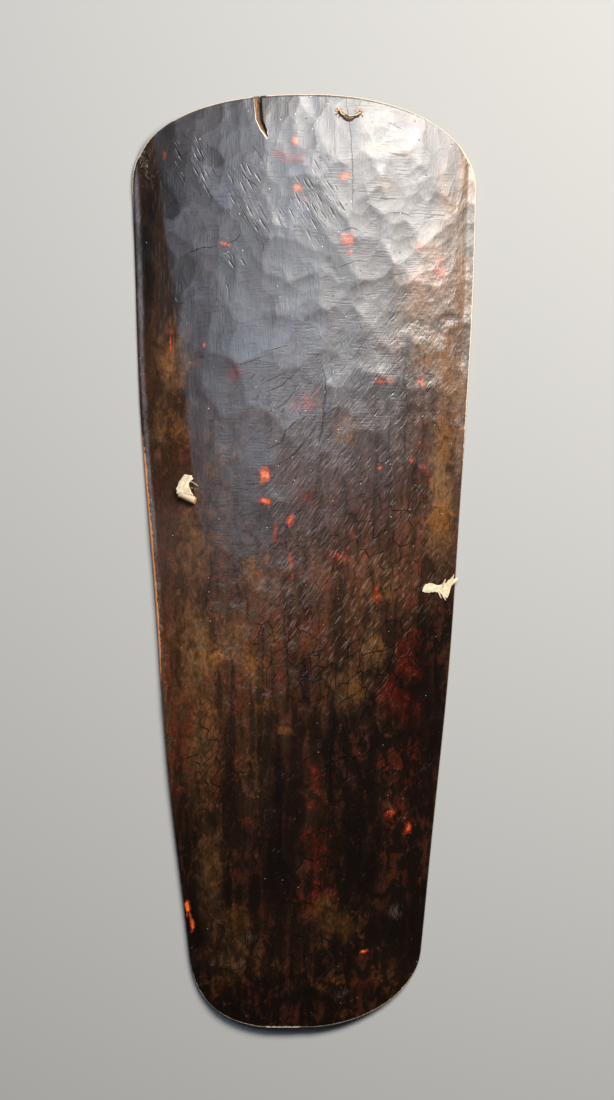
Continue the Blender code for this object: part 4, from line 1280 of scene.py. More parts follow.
def split_section(x, y, width, deep, rng):
    """One cross-section of the wedge, anticlockwise seen from the foot."""
    z = height_at(plain_front_height, (x, min(y, LENGTH / 2.0 - 0.02))) - 0.001
    floor_x = x + SPLIT_FLOOR_SHIFT * width / 2.0
    splinter = rng.uniform(-SPLIT_SPLINTER, SPLIT_SPLINTER, 6) * min(width / 0.008, 1.0)
    left = x - width / 2.0
    right = x + width / 2.0
    bottom = z - SPLIT_DEPTH * deep
    slant = floor_x - left
    fall = bottom - z
    return [(left, y, z + SPLIT_ABOVE), (left, y, z + SPLIT_LIP),
            (left + slant * 0.45 + splinter[0], y, z + fall * 0.40 + splinter[1]),
            (left + slant * 0.75 + splinter[2], y, z + fall * 0.78 + splinter[3]),
            (floor_x, y, bottom + splinter[4]),
            (right - 0.0008 * deep, y, z + fall * 0.45), (right, y, z + SPLIT_LIP),
            (right, y, z + SPLIT_ABOVE)]


def loft(name, rings):
    """A closed solid through rings of equal count."""
    count = len(rings[0])
    points = [point for ring in rings for point in ring]
    faces = [list(range(count))]
    for k in range(len(rings) - 1):
        for j in range(count):
            after = (j + 1) % count
            faces.append([k * count + j, k * count + after,
                          (k + 1) * count + after, (k + 1) * count + j])
    faces.append(list(range((len(rings) - 1) * count, len(rings) * count)))
    solid = new_piece(name, points, faces)
    turn_outwards(solid)
    return solid


def cut_away(piece, cutter):
    """Takes the cutter's solid out of the piece."""
    boolean = piece.modifiers.new(cutter.name, "BOOLEAN")
    boolean.operation = "DIFFERENCE"
    boolean.solver = "EXACT"
    boolean.object = cutter
    apply_modifiers(piece)
    bpy.data.objects.remove(cutter, do_unlink=True)


def patch_strength(x, y, patches, wander=0.008, lump=0.030):
    """Strength of the strongest of some soft patches, their outlines wandering a little."""
    value = np.zeros(x.shape)
    moved_x = x + wander * cloud(x, y, (lump, lump * 1.5), PATCH_SEEDS[0], 3)
    moved_y = y + wander * 1.5 * cloud(x, y, (lump, lump * 1.5), PATCH_SEEDS[1], 3)
    for middle_x, middle_y, half_width, half_length, strength in patches:
        far = ((moved_x - middle_x) / half_width) ** 2 + ((moved_y - middle_y) / half_length) ** 2
        value = np.maximum(value, strength * np.exp(-far))
    return value


def line_length(points):
    """Length of a line through points."""
    return sum(math.dist(a, b) for a, b in zip(points, points[1:]))


def along_line(x, y, points):
    """Signed offset from a line and the share of its length at the nearest place."""
    offset = np.full(x.shape, 1.0)
    share = np.zeros(x.shape)
    whole = line_length(points)
    run = 0.0
    for (ax, ay), (bx, by) in zip(points, points[1:]):
        length = math.dist((ax, ay), (bx, by))
        way_x = (bx - ax) / length
        way_y = (by - ay) / length
        along = np.clip((x - ax) * way_x + (y - ay) * way_y, 0.0, length)
        away = np.hypot(x - ax - along * way_x, y - ay - along * way_y)
        side = np.sign(way_x * (y - ay) - way_y * (x - ax))
        closer = away < np.abs(offset)
        offset = np.where(closer, away * np.where(side == 0.0, 1.0, side), offset)
        share = np.where(closer, (run + along) / whole, share)
        run += length
    return offset, share


def sheets_of_lines(lines):
    """Shares the lines out so that no two on one sheet come near each other."""
    sheets = [[] for number in range(SLIT_SHEETS)]
    for line in sorted(lines, key=lambda item: -item[0]):
        room = []
        for sheet in sheets:
            gaps = [math.dist(a, b) for other in sheet for a in other[1] for b in line[1]]
            room.append(min(gaps, default=1.0))
        sheets[room.index(max(room))].append(line)
    return sheets


def paint_lines(board, x, y, front):
    """Paints the slits and cracks as signed offsets and half widths, sheet by sheet."""
    lines = [*SLITS, (HAIRLINE_HALF_WIDTH, HAIRLINE)]
    moved_x = x + MARK_WANDER * cloud(x, y, (0.009, 0.009), MARK_WANDER_SEEDS[0], 2)
    moved_y = y + MARK_WANDER * cloud(x, y, (0.009, 0.009), MARK_WANDER_SEEDS[1], 2)
    width = 1.10 - 0.10 * smooth((0.06 - y) / 0.1)
    for number, sheet in enumerate(sheets_of_lines(lines)):
        best = np.full(x.shape, 1.0)
        reach = np.zeros(x.shape)
        for half_width, points in sheet:
            offset, share = along_line(moved_x, moved_y, points)
            taper = np.sqrt(np.clip(1.0 - (2.0 * share - 1.0) ** 2, 0.0, 1.0))
            near = smooth(1.0 - np.abs(offset) / MARK_REACH)
            closer = np.abs(offset) < np.abs(best)
            reach = np.where(closer, width * half_width * taper * near, reach)
            best = np.where(closer, offset, best)
        paint(board, f"slit_{number}_offset", best)
        paint(board, f"slit_{number}_reach", reach * front)


def paint_split(board, x, y):
    """Marks the faces of the split's walls, how far across the split each place lies for the
    painted shadow on its right, and the pale rim on its left.
    """
    centre_x, centre_y, centre_z = rows_of(board.data.polygons, "center").astype(float).T
    stations = np.array(SPLIT_STATIONS)[::-1]
    across = centre_x - np.interp(centre_y, stations[:, 1], stations[:, 0])
    width = np.interp(centre_y, stations[:, 1], stations[:, 2])
    wall = (centre_y > SPLIT_STATIONS[-1][1]) & (np.abs(across) < width / 2.0 + 0.0001)
    wall = wall & (centre_z > back_height(centre_x, centre_y) + 0.002)
    walls = board.data.attributes.new("wall", "FLOAT", "FACE")
    walls.data.foreach_set("value", np.where(wall, 1.0, 0.0).astype(np.float32))
    split_x = np.interp(y, stations[:, 1], stations[:, 0])
    half = np.interp(y, stations[:, 1], stations[:, 2]) / 2.0
    paint(board, "in_split", np.clip((x - split_x + half) / (2.0 * half), 0.0, 1.0))
    offset, share = along_line(x, y, SPLIT_RIM)
    paint(board, "rim_offset", offset)
    near = (share > 0.0) & (np.abs(offset) < MARK_REACH)
    paint(board, "rim_reach", SPLIT_RIM_HALF_WIDTH * (0.10 + 0.90 * share ** 2) * near)


def raw_wood(x, y):
    """Where the dark skin is gone: the split, the hole rims and the worn edges."""
    left_gap = x + side_width(y, -1.0)
    band = smooth((y + 0.22) / 0.10) * smooth((0.24 - y) / 0.10)
    width = 0.0008 + 0.0026 * band
    raw = (0.30 + 0.70 * band) * smooth((y + 0.34) / 0.10) * smooth(1.0 - left_gap / (2.0 * width))
    raw = raw * smooth((0.62 - y) / 0.2)
    far = np.hypot(x - LEFT_HOLE[0] - 0.003, (y - LEFT_HOLE[1]) * 0.7)
    return np.maximum(raw, 0.50 * smooth(1.0 - far / 0.012))


def worn_and_highlit_arris(board, x, y):
    """Where the edge is painted pale, partly worn by handling and the ground and partly a painted
    highlight on the rounded edge: most at the top and the foot, and on the upper right.
    """
    upright = rows_of(board.data.vertices, "normal")[:, 2]
    turned = smooth((0.97 - upright) / 0.22) * smooth((upright + 0.1) / 0.4)
    share = 0.20 + 0.80 * smooth((y - 0.52) / 0.08) + 0.45 * smooth((-y - 0.60) / 0.05)
    share = share + 0.7 * smooth(x / 0.1) * smooth((y - 0.10) / 0.2)
    return turned * np.minimum(share, 1.0)


def paint_board(board):
    """Paints the wear and colour masks that the wood's finish reads."""
    x, y, z = points_of(board).T
    depth, painted_shading_of_cut = hewn_depth(x, y)
    front_z = plain_front_height(x, y) - depth
    thickness = np.maximum(front_z - back_height(x, y), 0.001)
    depth_below = front_z - z
    front = smooth(1.25 - depth_below / thickness * 1.6)
    on_face = smooth(1.0 - depth_below / 0.004)
    paint(board, "front", front)
    paint(board, "back", 1.0 - front)

    # Grey, partly smoke bloom and partly painted sheen, and polished above, further down on the
    # left, and less so along the right edge.
    high = smooth((y + 0.11) / 0.48)
    high = np.maximum(high, 0.85 * smooth((y + 0.15) / 0.30) * smooth((0.10 - x) / 0.20))
    on_bevel = smooth(bevel_reach(x, y) / 0.006) * smooth((y + 0.02) / 0.2)
    right_edge = smooth((x - 0.120 - 0.07 * smooth((y - 0.35) / 0.25)) / 0.06)
    polish = smooth((y + 0.22) / 0.36) * smooth((0.10 - x) / 0.15)
    polish = np.maximum(smooth((y + 0.12) / 0.36), polish)
    polish = polish * (1.0 - 0.65 * right_edge) * (1.0 - 0.8 * on_bevel)
    polish = polish * (0.76 + 0.24 * smooth((y - 0.36) / 0.16))
    paint(board, "grey_bloom_and_sheen", high * (1.0 - on_bevel) * (1.0 - 0.7 * right_edge) * on_face)
    paint(board, "polish", polish * on_face)
    dry_side = smooth((x - 0.10) / 0.08) * smooth((0.52 - y) / 0.14)
    paint(board, "sheen", smooth((y + 0.03) / 0.48) * (1.0 - 0.30 * dry_side))
    paint(board, "hewn", smooth((y - 0.24) / 0.22) * (1.0 - on_bevel) * on_face)
    paint(board, "bevel", on_bevel * on_face)
    # Painted light and shade of each cut, weaker lower down.
    paint(board, "facet_shading", painted_shading_of_cut * on_face * (0.30 + 0.70 * smooth((y - 0.26) / 0.14)))

    # Colour in patches, and the fresh scrape across the top.
    paint(board, "ember", patch_strength(x, y, EMBER_SPOTS, 0.0030, 0.010) * on_face)
    ochre = patch_strength(x, y, OCHRE_PATCHES)
    tan = patch_strength(x, y, TAN_PATCHES)
    red = patch_strength(x, y, RED_PATCHES)
    paint(board, "ochre", ochre * on_face)
    paint(board, "tan", tan * on_face)
    offset, share = along_line(x, y, SCRAPE)
    inside = smooth((SCRAPE_HALF_WIDTH * (1.0 - 0.5 * share) - np.abs(offset)) / 0.0025)
    scrape = inside * (share > 0.0) * (share < 1.0)
    paint(board, "red", np.maximum(red, 0.9 * scrape) * on_face)
    paint(board, "soot", patch_strength(x, y, SOOT_PATCHES) * front)

    # Painted shade: darker towards the lower right, along both edges and at the foot, where the
    # light falls off.
    painted_shade = 0.93 * smooth((0.70 * x - y - 0.02) / 0.34)
    painted_shade = painted_shade + 0.16 * smooth((x + 0.01) / 0.10) * smooth((0.44 - y) / 0.14)
    painted_shade = painted_shade + 0.30 * smooth((x - 0.11) / 0.07) * smooth((-y - 0.03) / 0.10)
    painted_shade = painted_shade + 0.50 * smooth((-x - 0.165) / 0.05) * smooth((y - 0.46) / 0.08)
    painted_shade = painted_shade + 0.25 * smooth((-y - 0.60) / 0.05)
    light_bands = np.maximum(np.maximum(tan, ochre), 1.4 * red)
    painted_shade = painted_shade * (1.0 - 0.26 * light_bands) + 0.07 * cloud(x, y, (0.03, 0.07), PAINTED_SHADE_SEED)
    paint(board, "deep", np.clip(painted_shade, 0.0, 0.96) * front)

    # Wear: scuffs, tool marks and worn edges, the edges partly a painted highlight.
    paint(board, "scuff", patch_strength(x, y, PALE_SCUFFS, 0.004) * on_face)
    for name, patches in (("nicks", NICK_PATCHES), ("scores", SCORE_PATCHES),
                          ("craze", CRAZE_PATCHES), ("checks", SHORT_CHECK_PATCHES)):
        paint(board, name, patch_strength(x, y, patches) * on_face)
    paint(board, "raw", raw_wood(x, y) * smooth(1.6 - depth_below / thickness))
    beside = smooth((np.hypot(x + 0.066, (y - 0.668) * 0.35) - 0.012) / 0.004)
    paint(board, "arris_wear_and_highlight", worn_and_highlit_arris(board, x, y) * front * beside)
    paint_split(board, x, y)
    paint_lines(board, x, y, on_face)


def make_board():
    """The hewn board with its split and its holes."""
    board = saw_blank()
    hew(board)
    cut_away(board, split_cutter())
    rods = [rod_cutter("left_strap_hole", LEFT_HOLE, STRAP_HOLE_RADIUS),
            rod_cutter("right_strap_hole", RIGHT_HOLE, STRAP_HOLE_RADIUS)]
    for number, place in enumerate(STITCH_HOLES):
        rods.append(rod_cutter(f"stitch_hole_{number + 1}", place, STITCH_HOLE_RADIUS))
    cut_away(board, join(rods, "holes"))
    smooth_faces(board, 38.0)
    paint_board(board)
    board.data.materials.clear()
    board.data.materials.append(smoked_wood())
    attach(board, "root")
    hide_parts("shield_board")


# ---- The strap, its two knots and the stitch ----

STRAP_PLY_RADIUS = 0.00145
STRAP_PLY_ORBIT = 0.00118
STRAP_TURNS = 23
STRAP_FINENESS = 6
STITCH_STRANDS = 4
STITCH_STRAND_RADIUS = 0.00120
STITCH_STRAND_ORBIT = 0.00120
STITCH_SPREAD = 0.0023
STITCH_TURNS = 2
STITCH_FINENESS = 4
STITCH_HAIRS = 6
HAIR_RADIUS = 0.00040
HAIR_SEED = 12
HAIR_STATIONS = ((0.0016, -0.0015), (0.0034, 0.0008), (0.0056, 0.0012), (0.0078, 0.0008))
STRIP_THICKNESS = 0.0011

# Stations of the bast strips: the two edge points of each, in metres from the strap's hole,
# along the board's surface and up from it.
LEFT_FLAP = (((-0.0130, -0.0070, 0.0009), (-0.0010, -0.0040, 0.0009)),
             ((-0.0225, 0.0010, 0.0010), (-0.0030, 0.0030, 0.0012)),
             ((-0.0200, 0.0095, 0.0011), (-0.0040, 0.0090, 0.0014)),
             ((-0.0125, 0.0188, 0.0013), (0.0000, 0.0170, 0.0014)),
             ((-0.0112, 0.0200, 0.0022), (0.0010, 0.0182, 0.0022)),
             ((-0.0115, 0.0186, 0.0033), (0.0015, 0.0164, 0.0031)),
             ((-0.0150, 0.0136, 0.0046), (0.0030, 0.0128, 0.0038)),
             ((-0.0178, 0.0084, 0.0052), (-0.0026, 0.0076, 0.0048)),
             ((-0.0212, 0.0014, 0.0078), (-0.0004, 0.0000, 0.0080)),
             ((-0.0214, -0.0036, 0.0094), (0.0026, -0.0058, 0.0100)),
             ((-0.0212, -0.0072, 0.0096), (0.0056, -0.0100, 0.0104)),
             ((-0.0200, -0.0100, 0.0078), (0.0064, -0.0152, 0.0084)))
ROLL_LINE = ((-0.0178, -0.0088, 0.0050), (-0.0118, -0.0104, 0.0058), (-0.0052, -0.0132, 0.0064),
             (0.0016, -0.0160, 0.0066), (0.0076, -0.0190, 0.0062))
ROLL_RADII = (0.0056, 0.0056, 0.0062, 0.0066, 0.0056)
ROLL_TURNS = 2.3
ROLL_START = 2.3
ROLL_CORE = 0.22
ROLL_CELLS = (60, 20)
ROLL_MEAN_RADIUS = 0.004
ROLL_LENGTH = 0.024
ROLL_SEEDS = (12, 15)
LEFT_THREAD = ((-0.0010, 0.0098, 0.0042), (0.0040, 0.0080, 0.0052), (0.0082, 0.0050, 0.0040),
               (0.0100, 0.0028, 0.0012))
THREAD_RADIUS = 0.00045
RIGHT_STRIP = (((-0.0115, -0.0018, 0.0006), (-0.0106, 0.0004, 0.0006)),
               ((-0.0085, -0.0030, 0.0010), (-0.0080, 0.0068, 0.0012)),
               ((-0.0030, -0.0040, 0.0016), (-0.0030, 0.0100, 0.0022)),
               ((0.0020, -0.0037, 0.0020), (0.0020, 0.0108, 0.0026)),
               ((0.0070, -0.0033, 0.0018), (0.0072, 0.0092, 0.0024)),
               ((0.0120, -0.0034, 0.0014), (0.0125, 0.0072, 0.0016)),
               ((0.0172, -0.0056, 0.0012), (0.0185, 0.0082, 0.0018)),
               ((0.0222, -0.0090, 0.0010), (0.0232, 0.0118, 0.0034)),
               ((0.0252, -0.0110, 0.0012), (0.0262, 0.0112, 0.0012)),
               ((0.0284, -0.0114, 0.0020), (0.0296, 0.0136, 0.0026)),
               ((0.0314, -0.0044, 0.0028), (0.0342, 0.0182, 0.0036)),
               ((0.0338, 0.0048, 0.0034), (0.0364, 0.0218, 0.0042)),
               ((0.0372, 0.0160, 0.0040), (0.0382, 0.0238, 0.0046)))
RIGHT_PRONG = (((0.0300, 0.0020, 0.0022), (0.0290, 0.0110, 0.0030)),
               ((0.0375, 0.0085, 0.0032), (0.0345, 0.0140, 0.0036)),
               ((0.0430, 0.0130, 0.0038), (0.0405, 0.0176, 0.0044)),
               ((0.0452, 0.0162, 0.0040), (0.0440, 0.0186, 0.0042)))
RIGHT_TUFT = (((0.0192, 0.0040, 0.0020), (0.0226, 0.0040, 0.0030)),
              ((0.0205, 0.0095, 0.0036), (0.0232, 0.0092, 0.0040)),
              ((0.0222, 0.0142, 0.0046), (0.0242, 0.0140, 0.0048)),
              ((0.0236, 0.0166, 0.0050), (0.0243, 0.0165, 0.0050)))
RIGHT_BITS = ((((0.0135, -0.0030, 0.0008), (0.0158, -0.0040, 0.0012)),
               ((0.0158, -0.0080, 0.0008), (0.0180, -0.0085, 0.0016)),
               ((0.0186, -0.0126, 0.0010), (0.0196, -0.0128, 0.0014))),
              (((0.0190, -0.0060, 0.0008), (0.0225, -0.0070, 0.0012)),
               ((0.0222, -0.0112, 0.0008), (0.0250, -0.0112, 0.0018)),
               ((0.0258, -0.0158, 0.0010), (0.0268, -0.0154, 0.0014))))


def catmull(before, here, there, after, t):
    """Point of a centripetal Catmull-Rom stretch from here to there."""
    knots = [0.0]
    for a, b in ((before, here), (here, there), (there, after)):
        knots.append(knots[-1] + max((b - a).length, 1e-6) ** 0.5)
    at = knots[1] + (knots[2] - knots[1]) * t

    def mix(a, b, start, end):
        return a * ((end - at) / (end - start)) + b * ((at - start) / (end - start))

    first = mix(before, here, knots[0], knots[1])
    second = mix(here, there, knots[1], knots[2])
    third = mix(there, after, knots[2], knots[3])
    return mix(mix(first, second, knots[0], knots[2]), mix(second, third, knots[1], knots[3]),
               knots[1], knots[2])


def smooth_route(points, closed, samples):
    """Evenly many points in each stretch of a smooth curve through the given points."""
    count = len(points)
    stretches = count if closed else count - 1
    route = []
    for k in range(stretches):
        here = Vector(points[k])
        there = Vector(points[(k + 1) % count])
        before = Vector(points[k - 1]) if closed or k > 0 else here * 2.0 - there
        last = k + 2 >= count and not closed
        after = there * 2.0 - here if last else Vector(points[(k + 2) % count])
        for step in range(samples[k]):
            t = step / samples[k]
            route.append(catmull(before, here, there, after, t))
    if not closed:
        route.append(Vector(points[-1]))
    return route


def side_ways(route, closed):
    """Two directions across the route at each point, turning as little as they can."""
    count = len(route)
    ways = []
    side = Vector((0.0, 0.0, 1.0))
    for k in range(count):
        after = route[(k + 1) % count] if closed else route[min(k + 1, count - 1)]
        before = route[k - 1] if closed else route[max(k - 1, 0)]
        along = (after - before).normalized()
        if k == 0 and abs(along.z) > 0.8:
            side = Vector((1.0, 0.0, 0.0))
        side = (side - along * side.dot(along)).normalized()
        ways.append((side.copy(), along.cross(side)))
    return ways


def leftover_turn(route, ways):
    """Angle by which a closed route's side directions miss their start."""
    along = (route[1] - route[-1]).normalized()
    side = ways[-1][0]
    side = (side - along * side.dot(along)).normalized()
    return math.atan2(side.dot(ways[0][1]), side.dot(ways[0][0]))


def make_strand(name, route, radius, orbit, turns, phase, sides, closed):
    """One round strand that winds about the route, with its own map along it in metres."""
    ways = side_ways(route, closed)
    count = len(route)
    fix = -leftover_turn(route, ways) if closed else 0.0
    rng = np.random.RandomState(int(phase * 100) + 5)
    swell = cloud(np.arange(count) / 7.0, np.zeros(count), (1.0, 1.0), rng.randint(999), 2)
    points = []
    run = [0.0]
    for k in range(count):
        share = k / count
        angle = phase + (2.0 * math.pi * turns + fix) * share
        side, up = ways[k]
        middle = route[k] + (side * math.cos(angle) + up * math.sin(angle)) * orbit
        size = radius * (1.0 + 0.07 * swell[k])
        for j in range(sides):
            round_angle = angle + 2.0 * math.pi * j / sides
            way = side * math.cos(round_angle) + up * math.sin(round_angle)
            points.append(middle + way * size)
        run.append(run[-1] + (route[(k + 1) % count] - route[k]).length)
    faces = []
    lay = []
    girth = 2.0 * math.pi * radius
    for k in range(count if closed else count - 1):
        for j in range(sides):
            near = k * sides
            far = (k + 1) % count * sides
            faces.append((near + j, near + (j + 1) % sides, far + (j + 1) % sides, far + j))
            left = girth * j / sides
            right = girth * (j + 1) / sides
            lay += [(left, run[k]), (right, run[k]), (right, run[k + 1]), (left, run[k + 1])]
    if not closed:
        faces.append(tuple(range(sides)))
        faces.append(tuple(range((count - 1) * sides, count * sides)))
        lay += [(0.0, 0.0)] * (2 * sides)
    strand = new_piece(name, points, faces)
    layer = strand.data.uv_layers.new(name="lay")
    layer.data.foreach_set("uv", np.array(lay, np.float32).ravel())
    turn_outwards(strand)
    smooth_faces(strand, 60.0)
    return strand


def strap_route():
    """The strap's line, up through both holes and slack behind the board, as in the solid."""
    left_top = (*LEFT_HOLE, height_at(plain_front_height, LEFT_HOLE) - STRAP_END_BELOW)
    left_mouth = (*LEFT_HOLE, height_at(back_height, LEFT_HOLE))
    right_top = (*RIGHT_HOLE, height_at(plain_front_height, RIGHT_HOLE) - STRAP_END_BELOW)
    right_mouth = (*RIGHT_HOLE, height_at(back_height, RIGHT_HOLE) + 0.001)
    return [left_top, left_mouth, *STRAP_ROUTE, right_mouth, right_top]


def rest_on_floor(route):
    """Keeps a route from sinking into what the board lies on."""
    for place in route:
        place.z = max(place.z, STRAP_REST)
    return route


def make_strap(bast):
    """The carrying strap: two plies of bast twisted together."""
    points = strap_route()
    path = rest_on_floor(smooth_route(points, False, STRAP_SAMPLES))
    fine = [count * STRAP_FINENESS for count in STRAP_SAMPLES]
    route = rest_on_floor(smooth_route(points, False, fine))
    plies = []
    for number in range(2):
        plies.append(make_strand(f"strap_ply_{number}", route, STRAP_PLY_RADIUS, STRAP_PLY_ORBIT,
                                 STRAP_TURNS, math.pi * number, 12, False))
    strap = join(plies, "strap_twisted")
    points = points_of(strap)
    from_end = np.hypot(points[:, 0] - LEFT_HOLE[0], points[:, 1] - LEFT_HOLE[1])
    paint(strap, "stain_and_shade", np.full(len(points), 0.35))
    paint(strap, "soil", 0.25 + 1.0 * smooth(1.4 - from_end / 0.010))
    strap.data.materials.append(bast)
    return strap, path


def stitch_rise(place, way):
    """Route of the stitch up through one hole, from behind the board to its front."""
    top = height_at(plain_front_height, place)
    base = height_at(back_height, place)
    lift = STITCH_DIAMETER / 2.0 + GAP
    beside = (place[0] + way * STITCH_TURN, place[1] - STITCH_SAG * 0.45)
    behind = (place[0] + way * STITCH_TURN, place[1])
    lean = way * STITCH_TURN * 0.2
    return [(*behind, height_at(back_height, behind) - lift - STITCH_SPARE),
            (place[0] + lean, place[1], base - STITCH_SPARE),
            (*place, base + STITCH_TURN / 2.0),
            (*place, top - STITCH_TURN / 2.0),
            (place[0] + lean, place[1], top + STITCH_SPARE),
            (*beside, height_at(plain_front_height, beside) + lift + STITCH_SPARE)]


def slack_strand(route, number):
    """One strand's route: apart from its neighbours where the stitch lies slack in front."""
    left, right = STITCH_HOLES
    middle = (left[0] + right[0]) / 2.0
    span = (right[0] - left[0]) / 2.0 - STITCH_HOLE_RADIUS
    apart = (number - (STITCH_STRANDS - 1) / 2.0) * STITCH_SPREAD
    strand = []
    for place in route:
        in_front = place.z > height_at(plain_front_height, place)
        slack = float(smooth(1.5 - 1.5 * abs(place.x - middle) / span)) * in_front
        strand.append(place + Vector((0.0, apart * slack, 0.0)))
    return strand


def stitch_hairs():
    """Routes of the loose fibres that stand round the stitch's two holes."""
    rng = np.random.RandomState(HAIR_SEED)
    hairs = []
    for hole in STITCH_HOLES:
        for number in range(STITCH_HAIRS):
            way = math.radians(rng.uniform(20.0, 160.0) + 180.0 * (number % 3 == 0))
            hair = []
            for reach, lift in HAIR_STATIONS:
                bend = way + rng.uniform(-0.25, 0.25)
                place = (hole[0] + reach * math.cos(bend), hole[1] + reach * math.sin(bend))
                hair.append((*place, height_at(plain_front_height, place) + lift))
            hairs.append(smooth_route(hair, False, (3, 3, 3)))
    return hairs


def make_stitch(fibre):
    """The stitch over the hairline split: strands through its two holes, slack in front."""
    left, right = STITCH_HOLES
    middle = ((left[0] + right[0]) / 2.0, (left[1] + right[1]) / 2.0 - STITCH_SAG)
    lift = STITCH_DIAMETER / 2.0 + GAP
    points = stitch_rise(left, 1.0)
    points.append((*middle, height_at(plain_front_height, middle) + lift))
    points += stitch_rise(right, -1.0)[::-1]
    route = smooth_route(points, True, [count * STITCH_FINENESS for count in STITCH_SAMPLES])
    strands = []
    pale = []
    for number in range(STITCH_STRANDS):
        turn = 2.0 * math.pi * number / STITCH_STRANDS
        strand = make_strand(f"stitch_strand_{number}", slack_strand(route, number),
                             STITCH_STRAND_RADIUS, STITCH_STRAND_ORBIT, STITCH_TURNS, turn,
                             10, True)
        strands.append(strand)
        # Every other strand is painted pale tan: a painted highlight along the stitch.
        pale += [float(number % 2)] * len(strand.data.vertices)
    for number, hair in enumerate(stitch_hairs()):
        strand = make_strand(f"stitch_hair_{number}", hair, HAIR_RADIUS, 0.0, 0, 0.0, 6, False)
        strands.append(strand)
        pale += [float(number % 3 > 0)] * len(strand.data.vertices)
    stitch = join(strands, "crack_stitch_twisted")
    paint(stitch, "pale", pale)
    stitch.data.materials.append(fibre)
    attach(stitch, "root")
    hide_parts("crack_stitch")


def surface_frame(place, surface):
    """Matrix from a flat pattern to the surface at a place, its underside a gap above it."""
    reach = 0.012
    east = height_at(surface, (place[0] + reach, place[1]))
    west = height_at(surface, (place[0] - reach, place[1]))
    north = height_at(surface, (place[0], place[1] + reach))
    south = height_at(surface, (place[0], place[1] - reach))
    right = Vector((2.0 * reach, 0.0, east - west)).normalized()
    up = Vector((0.0, 2.0 * reach, north - south)).normalized()
    out = right.cross(up).normalized()
    up = out.cross(right)
    turn = Matrix((right, up, out)).transposed().to_4x4()
    spot = Vector((place[0], place[1], height_at(surface, place))) + out * GAP
    return Matrix.Translation(spot) @ turn


def between_stations(values, share):
    """Smooth place along a list of points, for shares from 0 to 1, as rows."""
    values = np.asarray(values, float)
    last = len(values) - 1
    at = np.clip(share * last, 0.0, last - 1e-9)
    k = at.astype(int)
    t = (at - k)[:, None]
    here = values[k]
    there = values[k + 1]
    before = np.where((k > 0)[:, None], values[np.maximum(k - 1, 0)], 2.0 * here - there)
    after = np.where((k + 2 <= last)[:, None], values[np.minimum(k + 2, last)],
                     2.0 * there - here)
    pull = (there - before) * 0.5
    push = (after - here) * 0.5
    return ((2.0 * t ** 3 - 3.0 * t ** 2 + 1.0) * here + (t ** 3 - 2.0 * t ** 2 + t) * pull
            + (3.0 * t ** 2 - 2.0 * t ** 3) * there + (t ** 3 - t ** 2) * push)


def thicken(sheet, thickness):
    """Gives a flat sheet of bast its thickness and rounds it a little."""
    solid = sheet.modifiers.new("thickness", "SOLIDIFY")
    solid.thickness = thickness
    solid.offset = 0.0
    soft = sheet.modifiers.new("softness", "SUBSURF")
    soft.levels = 1
    soft.render_levels = 1
    apply_modifiers(sheet)
    turn_outwards(sheet)
    smooth_faces(sheet, 60.0)


def strip_of_bast(name, stations, frame_at, seed, cells=(10, 36), ruffle=0.0003, stain_and_shade=0.0):
    """A thin strip of bast laid through its stations, with its fibres' ridges and ruffled edges."""
    pick_nothing()
    bpy.ops.mesh.primitive_grid_add(x_subdivisions=cells[0], y_subdivisions=cells[1], size=2.0)
    strip = named(name)
    flat = points_of(strip)
    across = (flat[:, 0] + 1.0) / 2.0
    along = (flat[:, 1] + 1.0) / 2.0
    first = between_stations([station[0] for station in stations], along)
    second = between_stations([station[1] for station in stations], along)
    points = first + (second - first) * across[:, None]
    width = np.linalg.norm(second - first, axis=1)
    length = line_length([station[0] for station in stations])
    ridge = cloud(across * width, along * length, (0.0022, 0.016), seed, 2)
    wave = cloud(across * width, along * length, (0.010, 0.008), seed + 1, 2)
    points[:, 2] += ruffle * (ridge + 1.6 * wave) + 0.0006 * np.sin(across * math.pi)
    edge = np.abs(across * 2.0 - 1.0) ** 6
    torn = cloud(along * length, across * 0.01, (0.0035, 0.01), seed + 2, 3)
    points += (second - first) * ((across - 0.5) * 0.12 * edge * torn)[:, None]
    points[:, 2] = np.maximum(points[:, 2], STRIP_THICKNESS * 0.55)
    place_points(strip, points, frame_at)
    lay_map(strip, np.stack([across * width, along * length], axis=1))
    paint(strip, "stain_and_shade", np.full(len(points), stain_and_shade))
    thicken(strip, STRIP_THICKNESS)
    return strip


def place_points(piece, points, frame_at):
    """Moves a piece's points, given as from its hole, to their place on the board."""
    matrix = np.array(frame_at)
    move_points(piece, points @ matrix[:3, :3].T + matrix[:3, 3])


def lay_map(piece, places):
    """Gives the mesh its map, in metres along and across its fibres."""
    mesh = piece.data
    corner = np.empty(len(mesh.loops), np.int32)
    mesh.loops.foreach_get("vertex_index", corner)
    while mesh.uv_layers:
        mesh.uv_layers.remove(mesh.uv_layers[0])
    layer = mesh.uv_layers.new(name="lay")
    layer.data.foreach_set("uv", places[corner].astype(np.float32).ravel())


